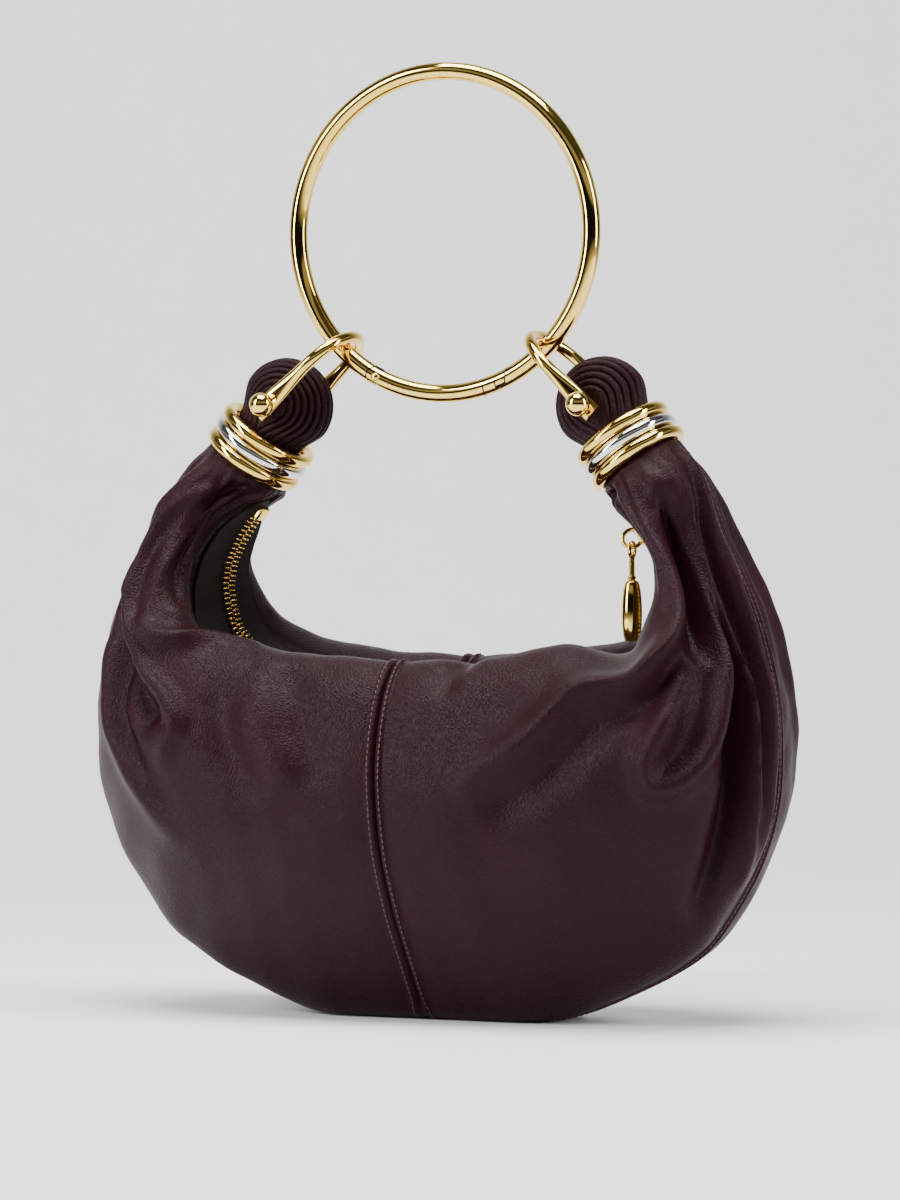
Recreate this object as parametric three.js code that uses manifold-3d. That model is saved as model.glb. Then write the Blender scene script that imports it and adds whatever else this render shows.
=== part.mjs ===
// A half-moon handbag of gathered leather with a round metal ring as its handle.
// Millimetres, +Z up, +X to the right and +Y to the back. The origin is the middle of the flat bottom.
import * as THREE from 'three';
import { mergeVertices } from 'three/addons/utils/BufferGeometryUtils.js';
import Module from 'manifold-3d';

const wasm = await Module();
wasm.setup();

const SEAM_GAP = 0.3; // between two pieces that touch
const WALL = 2; // leather with its backing

// Leather body
const BODY_HALF_WIDTH = 131;
const BODY_HALF_DEPTH = 56.6;
const CREST_HEIGHT = 127.8; // top edge of the front at the middle
const MOUTH_HALF = 13; // from the zip's middle line to the leather's edge
const SETTLE = 3.5; // how far the soft bottom is pressed flat where the bag stands
const SETTLE_REACH = 7; // height up to which that moves the leather, as a multiple of it
const COLUMNS = 15; // along each half of a side
const ROWS = 16; // from the bottom seam to the mouth

// Necks: the gathered leather inside each stack of rings
const NECK_LEAN = 36; // degrees that the axis leans inward from upright
const NECK_DROP = 18.2; // from the pin down the axis to the stack's middle
const NECK_RADIUS = 12.7;
const NECK_PLUG = 4; // length of the gathered loop inside the body's end
const LOOP_SHARE = 0.85; // share of the neck's radius where it runs into the loop
const NECK_TAPER = 0.82; // share of its radius that the loop has left at its hidden end
const NECK_RIBS = 9;
const NECK_RIB_HEIGHT = 0.7;

// Rings round the necks
const BAND_WIRE = 4.7;
const BAND_SIDES = 7;
const BAND_STEPS = 18;

// Gathered loop round each pin
const PIN_X = 61;
const PIN_Z = 216;
const LOOP_RADIUS = 15.6;
const LOOP_HALF_WIDTH = 12.6;
const LOOP_RIBS = 5;
const LOOP_RIB_DEPTH = 1.3;
const LOOP_DOME = 0.45; // share of its radius that the loop loses towards each side
const LOOP_STEPS = 18;

// Shackles and their pins
const PIN_DIAMETER = 3;
const PIN_CLEAR = 0.3;
const BALL_DIAMETER = 8.6;
const BALL_SEAT = 0.23 * BALL_DIAMETER; // from the ball's middle back to the flat that meets the leg
const BOW_WIRE = 4.4;
const BOW_FOOT_WIRE = 6.2;
const BOW_CLEAR = 0.7; // between the leather loop and each leg
const BOW_REACH = 35; // from the pin to the middle of the wire at the top of the bow
const BOW_OVERRUN = 2.8; // the leg's length past the pin
const BOW_STEPS = 20;
const BOW_SIDES = 9;

// Handle ring and its gate
const RING_OUTER = 120;
const RING_WIRE = 6.4;
const RING_SIDES = 9;
const RING_STEPS = 44;
const GATE_HINGE_ANGLE = -26.3; // degrees from straight down, negative to the left
const GATE_STEPS = 12;
// Line of the latch from the ring's outer edge to its inner one. outside is a share of the wire's diameter.
const LATCH = [
  { angle: 15.6, outside: 0.62 },
  { angle: 17, outside: -0.1 },
  { angle: 22.3, outside: -0.1 },
  { angle: 21.7, outside: 0.23 },
  { angle: 25, outside: 0.23 },
  { angle: 28.3, outside: -0.62 },
];
const GATE_CLEAR = 0.35;
const GATE_PIN_DIAMETER = 1.8;
const GATE_PIN_HEAD = 3;
const CONTACT_ANGLE = 44; // degrees from straight down to where each bow holds the ring

// Zip
const TAPE_THICK = 1.2;
const CHAIN_WIDTH = 5.6;
const CHAIN_THICK = 2.4;
const STOP_LENGTH = 5;
const TAPE_END = 0.93; // shares of the way from the middle to a neck
const ZIP_STEPS = 28; // straight stretches of the zip's line
const STOP_PLACE = 0.6; // place of the end stop, counted in those stretches from the left
const SLIDER_PLACE = 26.5;
const SLIDER_LENGTH = 9;
const SLIDER_WIDTH = 8;
const SLIDER_HEIGHT = 3.4;
const BAIL_RADIUS = 3.2;
const BAIL_WIRE = 1.5;
const STEM_LENGTH = 8;
const STEM_DIAMETER = 2;
const PULL_ABOVE_CREST = 5.3; // from the body's top edge up to the pull's lower end
const PULL_DIAMETER = 7.2;

// Sizes that follow from the ones above
const BAND_PITCH = BAND_WIRE + SEAM_GAP;
const NECK_BODY_START = BAND_PITCH + BAND_WIRE / 2 + 2 * SEAM_GAP; // from the stack's middle down
const BOW_HALF_SPAN = LOOP_HALF_WIDTH + BOW_CLEAR + BOW_FOOT_WIRE / 2;
const RING_RADIUS = (RING_OUTER - RING_WIRE) / 2;
const KNUCKLE_RADIUS = 0.56 * RING_WIRE;
const TONGUE_RADIUS = KNUCKLE_RADIUS - 0.1 * RING_WIRE;
const TONGUE_THICK = RING_WIRE / 3;
const BAIL_LIFT = TAPE_THICK / 2 + SEAM_GAP + SLIDER_HEIGHT + BAIL_RADIUS * 0.6;
const rad = THREE.MathUtils.degToRad;
const NECK_Z = PIN_Z - Math.cos(rad(NECK_LEAN)) * NECK_DROP;
const NECK_X = PIN_X + Math.sin(rad(NECK_LEAN)) * NECK_DROP;
const leather = { color: 0x34_1c_20, roughness: 0.45, metalness: 0 };
const gold = { color: 0xe6_c8_6e, roughness: 0.15, metalness: 1 };
const silver = { color: 0xd9_d8_d4, roughness: 0.15, metalness: 1 };
const darkTape = { color: 0x2a_1a_16, roughness: 0.9, metalness: 0 };

// Sections of the body from its middle to a neck. The columns are shares: outerX and crestX of the half
// width, outerZ of the neck's height, crestUp of the way from the crest's height to the neck's, depth of
// the half depth, mouth of the mouth's half width.
// round is 0 for the pillow section of the middle and 1 for the neck's circle.
const SECTIONS = [
  { outerX: 0.0, outerZ: 0.0, crestX: 0.0, crestUp: 0.0, depth: 1.0, round: 0, mouth: 1.0 },
  { outerX: 0.262, outerZ: 0.0, crestX: 0.121, crestUp: 0.003, depth: 1.0, round: 0, mouth: 1.0 },
  { outerX: 0.496, outerZ: 0.054, crestX: 0.236, crestUp: 0.011, depth: 0.99, round: 0, mouth: 1.0 },
  { outerX: 0.732, outerZ: 0.135, crestX: 0.353, crestUp: 0.036, depth: 0.965, round: 0, mouth: 1.0 },
  { outerX: 0.884, outerZ: 0.248, crestX: 0.475, crestUp: 0.084, depth: 0.92, round: 0.03, mouth: 1.0 },
  { outerX: 0.972, outerZ: 0.376, crestX: 0.568, crestUp: 0.151, depth: 0.85, round: 0.08, mouth: 0.95 },
  { outerX: 0.995, outerZ: 0.505, crestX: 0.61, crestUp: 0.286, depth: 0.76, round: 0.15, mouth: 0.85 },
  { outerX: 0.98, outerZ: 0.629, crestX: 0.622, crestUp: 0.434, depth: 0.645, round: 0.27, mouth: 0.7 },
  { outerX: 0.922, outerZ: 0.762, crestX: 0.59, crestUp: 0.582, depth: 0.51, round: 0.48, mouth: 0.55 },
  { outerX: 0.823, outerZ: 0.896, crestX: 0.538, crestUp: 0.717, depth: 0.37, round: 0.8, mouth: 0.34 },
];

// Outline of a section from the bottom seam over the belly and crest to the mouth's edge. along is the
// share of the way from the seam to the crest, out the share of the half depth, turn the angle in degrees
// of the same point on the neck's circle.
const PROFILE = [
  { along: 0.0, out: 0.0, turn: 0 },
  { along: 0.003, out: 0.2, turn: 12 },
  { along: 0.036, out: 0.35, turn: 25 },
  { along: 0.12, out: 0.51, turn: 38 },
  { along: 0.225, out: 0.675, turn: 52 },
  { along: 0.345, out: 0.825, turn: 66 },
  { along: 0.46, out: 0.935, turn: 80 },
  { along: 0.58, out: 0.99, turn: 94 },
  { along: 0.7, out: 1.0, turn: 107 },
  { along: 0.81, out: 0.94, turn: 120 },
  { along: 0.91, out: 0.835, turn: 133 },
  { along: 0.98, out: 0.69, turn: 145 },
  { along: 1.0, out: 0.54, turn: 156 },
  { along: 0.97, out: 0.38, turn: 167 },
  { along: 0.9, out: 0.23, turn: 180 },
];

// Folds of the leather. side is -1 left or 1 right, face is -1 front or 1 back. A fold runs from start to
// end, each given as share of the way from the middle to the neck and share of the way from seam to mouth.
// height is a share of the half depth, negative for a valley, and width is a share of it too.
const FOLDS = [
  { side: 1, face: -1, start: [1.0, 0.3], end: [0.55, 0.2], height: 0.07, width: 0.09 },
  { side: 1, face: -1, start: [1.0, 0.42], end: [0.5, 0.34], height: -0.08, width: 0.09 },
  { side: 1, face: -1, start: [1.0, 0.58], end: [0.52, 0.5], height: 0.1, width: 0.12 },
  { side: 1, face: -1, start: [0.8, 0.66], end: [0.22, 0.62], height: 0.06, width: 0.14 },
  { side: 1, face: -1, start: [0.74, 0.56], end: [0.25, 0.5], height: -0.06, width: 0.12 },
  { side: -1, face: -1, start: [1.0, 0.28], end: [0.5, 0.16], height: -0.08, width: 0.09 },
  { side: -1, face: -1, start: [1.0, 0.44], end: [0.62, 0.3], height: 0.08, width: 0.12 },
  { side: -1, face: -1, start: [0.86, 0.46], end: [0.55, 0.4], height: -0.09, width: 0.1 },
  { side: -1, face: -1, start: [1.0, 0.66], end: [0.42, 0.56], height: 0.05, width: 0.14 },
  { side: -1, face: -1, start: [0.46, 0.8], end: [0.3, 0.52], height: -0.05, width: 0.14 },
  { side: 1, face: 1, start: [1.0, 0.34], end: [0.5, 0.22], height: 0.07, width: 0.1 },
  { side: 1, face: 1, start: [1.0, 0.55], end: [0.45, 0.48], height: -0.07, width: 0.12 },
  { side: -1, face: 1, start: [1.0, 0.3], end: [0.5, 0.2], height: 0.07, width: 0.1 },
  { side: -1, face: 1, start: [1.0, 0.5], end: [0.45, 0.45], height: -0.07, width: 0.12 },
];
const GATHERS = 4; // pleats that run from a neck's end over each quarter of the body
const GATHER_HEIGHT = 0.02; // share of the half depth

// Value at share t of a smooth line through evenly spaced rows.
function smooth(rows, key, t) {
  const last = rows.length - 1;
  const place = Math.min(Math.max(t, 0), 1) * last;
  const i = Math.min(Math.floor(place), last - 1);
  const f = place - i;
  const at = (k) => rows[Math.min(Math.max(k, 0), last)][key];
  const [a, b, c, d] = [at(i - 1), at(i), at(i + 1), at(i + 2)];
  const first = i === 0 ? c - b : (c - a) / 2;
  const second = i === last - 1 ? c - b : (d - b) / 2;
  const h = f * f * (3 - 2 * f);
  return b * (1 - h) + c * h + first * f * (1 - f) ** 2 - second * f * f * (1 - f);
}

// Point on a neck's axis, at a distance above the stack's middle.
function neckPoint(side, distance) {
  const lean = rad(NECK_LEAN);
  const x = NECK_X - Math.sin(lean) * distance;
  return new THREE.Vector3(side * x, 0, NECK_Z + Math.cos(lean) * distance);
}

// The section at share s: its outer and crest points in the plane of the seam.
function sectionAt(s) {
  const end = neckPoint(1, -NECK_BODY_START);
  const lean = rad(NECK_LEAN);
  const endRadius = NECK_RADIUS + NECK_RIB_HEIGHT + SEAM_GAP + WALL;
  const rim = new THREE.Vector3(Math.cos(lean) * endRadius, 0, Math.sin(lean) * endRadius);
  const rows = [
    ...SECTIONS.map((row) => ({
      outerX: row.outerX * BODY_HALF_WIDTH,
      outerZ: row.outerZ * NECK_Z,
      crestX: row.crestX * BODY_HALF_WIDTH,
      crestZ: CREST_HEIGHT + row.crestUp * (NECK_Z - CREST_HEIGHT),
      depth: row.depth * BODY_HALF_DEPTH,
      round: row.round,
      mouth: row.mouth * MOUTH_HALF,
    })),
    {
      outerX: end.x + rim.x,
      outerZ: end.z + rim.z,
      crestX: end.x - rim.x,
      crestZ: end.z - rim.z,
      depth: endRadius,
      round: 1,
      mouth: 0,
    },
  ];
  const value = (key) => smooth(rows, key, s);
  return {
    outer: new THREE.Vector3(value('outerX'), 0, Math.max(value('outerZ'), 0)),
    crest: new THREE.Vector3(value('crestX'), 0, value('crestZ')),
    depth: value('depth'),
    round: value('round'),
    mouth: Math.max(value('mouth'), 0),
  };
}

// Point of the body's skin. s runs from the middle to the neck, v from the bottom seam to the mouth.
function bareSkin(s, v) {
  const section = sectionAt(s);
  const turn = rad(smooth(PROFILE, 'turn', v));
  const along = THREE.MathUtils.lerp(smooth(PROFILE, 'along', v), (1 - Math.cos(turn)) / 2, section.round);
  const out = THREE.MathUtils.lerp(smooth(PROFILE, 'out', v), Math.sin(turn), section.round);
  const rimOut = (1 - section.round) * PROFILE[PROFILE.length - 1].out * section.depth;
  const nearRim = THREE.MathUtils.smoothstep(v, 0.8, 1);
  const depth = out * section.depth + (section.mouth - rimOut) * nearRim;
  const point = section.outer.clone().lerp(section.crest, along);
  const settled = point.z - SETTLE * (1 - THREE.MathUtils.smoothstep(point.z, 0, SETTLE_REACH * SETTLE));
  return new THREE.Vector3(point.x, Math.max(depth, 0), Math.max(settled, 0));
}

// Length of the skin's outline at share s, for folds whose width is in millimetres.
function girth(s) {
  const section = sectionAt(s);
  return section.outer.distanceTo(section.crest) + section.depth;
}

// Height of the folds and gathers above the bare skin.
function foldHeight(side, face, s, v) {
  const fade = THREE.MathUtils.smoothstep(v, 0, 0.08) * (1 - THREE.MathUtils.smoothstep(v, 0.9, 1));
  const around = girth(s);
  let height = 0;
  for (const fold of FOLDS) {
    const [s0, v0] = fold.start;
    const [s1, v1] = fold.end;
    const p = (s - s0) / (s1 - s0);
    if (fold.side === side && fold.face === face && p > 0 && p < 1) {
      const across = ((v - THREE.MathUtils.lerp(v0, v1, p)) * around) / (fold.width * BODY_HALF_DEPTH);
      height += fold.height * Math.sin(Math.PI * p) ** 0.7 * Math.exp(-across * across);
    }
  }
  const gather = THREE.MathUtils.smoothstep(s, 0.6, 0.9) * (1 - 0.8 * THREE.MathUtils.smoothstep(s, 0.94, 1));
  height += GATHER_HEIGHT * gather * Math.cos(2 * Math.PI * GATHERS * v);
  return height * fade * BODY_HALF_DEPTH;
}

// Points of one quarter of the body: its outer skin and the inner one, a wall's thickness in.
function quarterGrid(side, face) {
  const step = 0.002;
  const outer = [];
  const inner = [];
  for (let i = 0; i <= COLUMNS; i += 1) {
    for (let j = 0; j <= ROWS; j += 1) {
      const s = i / COLUMNS;
      const v = j / ROWS;
      const point = bareSkin(s, v);
      const alongS = bareSkin(Math.min(s + step, 1), v).sub(bareSkin(Math.max(s - step, 0), v));
      const alongV = bareSkin(s, Math.min(v + step, 1)).sub(bareSkin(s, Math.max(v - step, 0)));
      const normal = alongV.cross(alongS).normalize();
      if (j === 0) {
        normal.setY(0).normalize();
      }
      if (i === 0) {
        normal.setX(0).normalize();
      }
      const outside = point.addScaledVector(normal, foldHeight(side, face, s, v));
      outside.z = Math.max(outside.z, 0);
      const inside = outside.clone().addScaledVector(normal, -WALL);
      for (const [list, p] of [[outer, outside], [inner, inside]]) {
        list.push(side * Math.max(p.x, SEAM_GAP / 2), face * Math.max(p.y, SEAM_GAP / 2), p.z);
      }
    }
  }
  return { outer, inner };
}

// Geometry of a closed body from its points and triangles, turned so that its faces point out.
function closedGeometry(positions, triangles) {
  let volume = 0;
  const corner = (k) => new THREE.Vector3(...positions.slice(3 * k, 3 * k + 3));
  for (let k = 0; k < triangles.length; k += 3) {
    const [a, b, c] = [corner(triangles[k]), corner(triangles[k + 1]), corner(triangles[k + 2])];
    volume += a.dot(b.cross(c));
  }
  const faces = volume < 0 ? triangles.toReversed() : triangles;
  const geometry = new THREE.BufferGeometry();
  geometry.setAttribute('position', new THREE.Float32BufferAttribute(positions, 3));
  geometry.setIndex(faces);
  geometry.computeVertexNormals();
  return geometry;
}

// A wall between two grids of points with the same rows and columns.
function wallGeometry(outer, inner, columns, rows) {
  const count = (columns + 1) * (rows + 1);
  const at = (i, j) => i * (rows + 1) + j;
  const triangles = [];
  const quad = (a, b, c, d) => triangles.push(a, b, c, a, c, d);
  for (let i = 0; i < columns; i += 1) {
    for (let j = 0; j < rows; j += 1) {
      quad(at(i, j), at(i + 1, j), at(i + 1, j + 1), at(i, j + 1));
      quad(count + at(i, j + 1), count + at(i + 1, j + 1), count + at(i + 1, j), count + at(i, j));
    }
    quad(at(i, 0), count + at(i, 0), count + at(i + 1, 0), at(i + 1, 0));
    quad(at(i + 1, rows), count + at(i + 1, rows), count + at(i, rows), at(i, rows));
  }
  for (let j = 0; j < rows; j += 1) {
    quad(at(0, j + 1), count + at(0, j + 1), count + at(0, j), at(0, j));
    quad(at(columns, j), count + at(columns, j), count + at(columns, j + 1), at(columns, j + 1));
  }
  return closedGeometry([...outer, ...inner], triangles);
}

// A solid through closed outlines of points, one after another, with flat ends.
function loftGeometry(outlines) {
  const around = outlines[0].length;
  const positions = outlines.flat().flatMap((p) => [p.x, p.y, p.z]);
  const triangles = [];
  for (let i = 0; i + 1 < outlines.length; i += 1) {
    for (let j = 0; j < around; j += 1) {
      const [a, b] = [i * around + j, i * around + ((j + 1) % around)];
      triangles.push(a, b, b + around, a, b + around, a + around);
    }
  }
  const last = (outlines.length - 1) * around;
  for (let j = 1; j + 1 < around; j += 1) {
    triangles.push(0, j + 1, j, last, last + j, last + j + 1);
  }
  return closedGeometry(positions, triangles);
}

// A round bar along points that lie in one plane, with its own radius at each point.
function barGeometry(points, radii, planeNormal, sides) {
  const outlines = points.map((point, k) => {
    const before = points[Math.max(k - 1, 0)];
    const after = points[Math.min(k + 1, points.length - 1)];
    const across = after.clone().sub(before).cross(planeNormal).normalize();
    return Array.from({ length: sides }, (_, n) => {
      const angle = (2 * Math.PI * (n + 0.5)) / sides;
      const offset = across.clone().multiplyScalar(Math.cos(angle) * radii[k]);
      return point.clone().add(offset).addScaledVector(planeNormal, Math.sin(angle) * radii[k]);
    });
  });
  return loftGeometry(outlines);
}

// A closed solid of revolution about the Y axis, from [radius, y] points that start and end on the axis.
function turnedGeometry(profile, steps) {
  return new THREE.LatheGeometry(profile.map(([r, y]) => new THREE.Vector2(r, y)), steps);
}

// A bore or rod about the Y axis through a point.
function rodGeometry(radius, length, at, steps) {
  const half = length / 2;
  const rod = turnedGeometry([[0, -half], [radius, -half], [radius, half], [0, half]], steps);
  return rod.translate(at.x, at.y, at.z);
}

function toManifold(geometry) {
  const bare = geometry.clone();
  bare.deleteAttribute('normal');
  bare.deleteAttribute('uv');
  const merged = mergeVertices(bare, 1e-4);
  const vertProperties = new Float32Array(merged.attributes.position.array);
  const triVerts = new Uint32Array(merged.index.array);
  return new wasm.Manifold(new wasm.Mesh({ numProp: 3, vertProperties, triVerts }));
}

function fromManifold(solid) {
  const { vertProperties, triVerts } = solid.getMesh();
  return closedGeometry(Array.from(vertProperties), Array.from(triVerts));
}

// The gathered leather: a ribbed loop round the pin, with a pleated neck down through the stack of rings.
function gatheredLoop(side) {
  const ribs = LOOP_RIBS * 3;
  const profile = [[0, -LOOP_HALF_WIDTH]];
  for (let k = 0; k <= ribs; k += 1) {
    const y = LOOP_HALF_WIDTH * ((2 * k) / ribs - 1);
    const valley = (1 - Math.cos((2 * Math.PI * LOOP_RIBS * k) / ribs)) / 2;
    const dome = 1 - LOOP_DOME * Math.abs(y / LOOP_HALF_WIDTH) ** 3;
    profile.push([LOOP_RADIUS * dome - LOOP_RIB_DEPTH * (1 - valley), y]);
  }
  profile.push([0, LOOP_HALF_WIDTH]);
  const pin = new THREE.Vector3(side * PIN_X, 0, PIN_Z);
  const knob = turnedGeometry(profile, LOOP_STEPS).translate(pin.x, pin.y, pin.z);
  const lean = rad(NECK_LEAN);
  const stations = [
    [-NECK_BODY_START - NECK_PLUG, NECK_TAPER],
    [-NECK_BODY_START, 1],
    [NECK_DROP / 2, 1],
    [NECK_DROP, LOOP_SHARE],
  ];
  const outlines = stations.map(([distance, share]) =>
    Array.from({ length: NECK_RIBS * 3 }, (_, n) => {
      const angle = (2 * Math.PI * n) / (NECK_RIBS * 3);
      const radius = share * (NECK_RADIUS + NECK_RIB_HEIGHT * Math.cos(angle * NECK_RIBS));
      const across = new THREE.Vector3(side * Math.cos(lean), 0, Math.sin(lean));
      const point = neckPoint(side, distance).addScaledVector(across, radius * Math.cos(angle));
      return point.add(new THREE.Vector3(0, radius * Math.sin(angle), 0));
    }),
  );
  const bore = rodGeometry(PIN_DIAMETER / 2 + PIN_CLEAR, LOOP_HALF_WIDTH * 3, pin, 12);
  const solid = toManifold(knob).add(toManifold(loftGeometry(outlines))).subtract(toManifold(bore));
  return fromManifold(solid);
}

// One ring of a stack, laid round the neck at a distance above the stack's middle.
function neckBand(side, distance) {
  const radius = NECK_RADIUS + NECK_RIB_HEIGHT + SEAM_GAP + BAND_WIRE / 2;
  const lean = rad(NECK_LEAN);
  const band = new THREE.TorusGeometry(radius, BAND_WIRE / 2, BAND_SIDES, BAND_STEPS);
  const middle = neckPoint(side, distance);
  return band.rotateY(-side * lean).translate(middle.x, middle.y, middle.z);
}

// Where the middle of the wire lies at the top of a bow: just inside the ring that it holds.
function bowTop(side) {
  const inside = RING_RADIUS - (RING_WIRE + BOW_WIRE) / 2 - SEAM_GAP;
  const x = inside * Math.sin(rad(CONTACT_ANGLE));
  const rise = Math.sqrt(BOW_REACH ** 2 - (PIN_X - x) ** 2);
  return new THREE.Vector3(side * x, 0, PIN_Z + rise);
}

// The handle ring's centre stands over the tops of the two bows.
function ringCentre() {
  const inside = RING_RADIUS - (RING_WIRE + BOW_WIRE) / 2 - SEAM_GAP;
  return new THREE.Vector3(0, 0, bowTop(1).z + inside * Math.cos(rad(CONTACT_ANGLE)));
}

// A U of round wire from one leg's end over the ring to the other leg's end, thicker at its feet.
function shackle(side) {
  const pin = new THREE.Vector3(side * PIN_X, 0, PIN_Z);
  const way = bowTop(side).sub(pin).normalize();
  const width = new THREE.Vector3(0, 1, 0);
  const straight = BOW_REACH - BOW_HALF_SPAN;
  const feet = [-BOW_OVERRUN, 0, straight * 0.3, straight * 0.65];
  const bend = BOW_STEPS - 2 * feet.length;
  const path = feet.map((reach) => [reach, -BOW_HALF_SPAN]);
  for (let k = 0; k <= bend; k += 1) {
    const angle = (Math.PI * k) / bend;
    path.push([straight + BOW_HALF_SPAN * Math.sin(angle), -BOW_HALF_SPAN * Math.cos(angle)]);
  }
  path.push(...feet.toReversed().map((reach) => [reach, BOW_HALF_SPAN]));
  const points = path.map(([reach, across]) => {
    return pin.clone().addScaledVector(way, reach).addScaledVector(width, across);
  });
  const radii = path.map(([reach]) => {
    const thin = THREE.MathUtils.smoothstep(reach, 0, straight);
    return THREE.MathUtils.lerp(BOW_FOOT_WIRE, BOW_WIRE, thin) / 2;
  });
  const bar = barGeometry(points, radii, way.clone().cross(width).normalize(), BOW_SIDES);
  const bore = rodGeometry(PIN_DIAMETER / 2 + PIN_CLEAR, BOW_HALF_SPAN * 4, pin, 12);
  return fromManifold(toManifold(bar).subtract(toManifold(bore)));
}

// The pin through a shackle's feet and the leather loop, with a ball at each end, in one piece.
function shacklePin(side) {
  const seat = BOW_HALF_SPAN + BOW_FOOT_WIRE / 2 + SEAM_GAP;
  const ballRadius = BALL_DIAMETER / 2;
  const middle = seat + BALL_SEAT;
  const startAngle = Math.asin(BALL_SEAT / ballRadius);
  const half = [[PIN_DIAMETER / 2, seat]];
  for (let k = 0; k < 5; k += 1) {
    const angle = -startAngle + ((Math.PI / 2 + startAngle) * k) / 5;
    half.push([ballRadius * Math.cos(angle), middle + ballRadius * Math.sin(angle)]);
  }
  half.push([0, middle + ballRadius]);
  const profile = [...half.toReversed().map(([r, y]) => [r, -y]), ...half];
  return turnedGeometry(profile, 12).translate(side * PIN_X, 0, PIN_Z);
}

// Point of the handle ring's plane, from an angle past straight down and a distance outside the wire's
// middle.
function ringPoint(angle, outside) {
  const centre = ringCentre();
  const radius = RING_RADIUS + outside;
  return new THREE.Vector2(radius * Math.sin(rad(angle)), centre.z - radius * Math.cos(rad(angle)));
}

// Outline of the gate from the hinge to the latch, grown by a clearance. The latch steps in past a hook.
function gateOutline(grow) {
  const reach = RING_WIRE;
  const first = GATE_HINGE_ANGLE;
  const latch = LATCH.map(({ angle, outside }) => ringPoint(angle, outside * RING_WIRE));
  const moved = latch.map((point, k) => {
    const before = latch[Math.max(k - 1, 0)];
    const after = latch[Math.min(k + 1, latch.length - 1)];
    const normals = [point.clone().sub(before), after.clone().sub(point)]
      .filter((edge) => edge.length() > 0)
      .map((edge) => new THREE.Vector2(edge.y, -edge.x).normalize());
    const mean = normals.reduce((sum, n) => sum.add(n), new THREE.Vector2()).normalize();
    return point.clone().addScaledVector(mean, grow / mean.dot(normals[0]));
  });
  const points = [];
  for (let k = 0; k <= GATE_STEPS; k += 1) {
    points.push(ringPoint(first + ((LATCH[0].angle - 1.5 - first) * k) / GATE_STEPS, reach));
  }
  points.push(...moved);
  for (let k = GATE_STEPS; k >= 0; k -= 1) {
    points.push(ringPoint(first + ((LATCH.at(-1).angle - 1.5 - first) * k) / GATE_STEPS, -reach));
  }
  return points;
}

// A plate with an outline in the ring's plane, as thick as asked, centred on that plane.
function plate(points, thick) {
  const shape = new THREE.Shape(points);
  const geometry = new THREE.ExtrudeGeometry(shape, { depth: thick, bevelEnabled: false, steps: 1 });
  return geometry.rotateX(Math.PI / 2).translate(0, thick / 2, 0);
}

// The round knuckle about the hinge's pin, as a rod across the ring.
function hingeRod(radius, length) {
  const at = ringPoint(GATE_HINGE_ANGLE, 0);
  return toManifold(rodGeometry(radius, length, new THREE.Vector3(at.x, 0, at.y), 24));
}

function ringWire() {
  const centre = ringCentre();
  const wire = new THREE.TorusGeometry(RING_RADIUS, RING_WIRE / 2, RING_SIDES, RING_STEPS);
  return toManifold(wire.rotateX(Math.PI / 2).translate(0, 0, centre.z));
}

// A slab beside the hinge's middle line, that leads from the pin back into the fixed part of the ring.
function tongueSlab(thick, length) {
  const half = RING_WIRE;
  const back = THREE.MathUtils.radToDeg(length / RING_RADIUS);
  const corners = [
    ringPoint(GATE_HINGE_ANGLE, half),
    ringPoint(GATE_HINGE_ANGLE, -half),
    ringPoint(GATE_HINGE_ANGLE - back, -half),
    ringPoint(GATE_HINGE_ANGLE - back, half),
  ];
  return toManifold(plate(corners, thick));
}

// The fixed part of the handle ring with the hinge's tongue, and the gate with the fork that straddles it.
function ringAndGate() {
  const wide = 2 * RING_WIRE;
  const wire = ringWire();
  const pinHole = hingeRod(GATE_PIN_DIAMETER / 2 + GATE_CLEAR / 2, wide);
  const knuckle = hingeRod(KNUCKLE_RADIUS, wide);
  const gateZone = toManifold(plate(gateOutline(0), wide)).add(knuckle);
  const slot = hingeRod(TONGUE_RADIUS + GATE_CLEAR, TONGUE_THICK + 2 * GATE_CLEAR)
    .add(tongueSlab(TONGUE_THICK + 2 * GATE_CLEAR, 2 * KNUCKLE_RADIUS));
  const gate = wire.intersect(gateZone).subtract(slot).subtract(pinHole);
  const socket = hingeRod(KNUCKLE_RADIUS + GATE_CLEAR, wide);
  const cut = toManifold(plate(gateOutline(GATE_CLEAR), wide)).add(socket);
  const tongue = hingeRod(TONGUE_RADIUS, TONGUE_THICK).add(tongueSlab(TONGUE_THICK, 2 * KNUCKLE_RADIUS));
  const ring = wire.subtract(cut).add(wire.intersect(tongue)).subtract(pinHole);
  return { ring: fromManifold(ring), gate: fromManifold(gate) };
}

// The gate's pin, with a low round head on each side.
function gatePin() {
  const seat = RING_WIRE / 2 + SEAM_GAP / 2;
  const rod = GATE_PIN_DIAMETER / 2;
  const head = GATE_PIN_HEAD / 2;
  const half = [[rod, seat], [head, seat], [head * 0.75, seat + head * 0.35], [0, seat + head * 0.45]];
  const profile = [...half.toReversed().map(([r, y]) => [r, -y]), ...half];
  const at = ringPoint(GATE_HINGE_ANGLE, 0);
  return turnedGeometry(profile, 12).translate(at.x, 0, at.y);
}

// The middle of the mouth's rim in the seam's plane, at a station of the zip's line, and its half width.
function zipRim(k) {
  const t = TAPE_END * ((2 * k) / ZIP_STEPS - 1);
  const side = t < 0 ? -1 : 1;
  const section = sectionAt(Math.abs(t));
  const rim = bareSkin(Math.abs(t), 1);
  const up = section.crest.clone().sub(section.outer).normalize();
  const point = new THREE.Vector3(rim.x, 0, rim.z).addScaledVector(up, -WALL / 2);
  return { point: new THREE.Vector3(side * point.x, 0, point.z), half: rim.y - 2 * SEAM_GAP };
}

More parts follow.
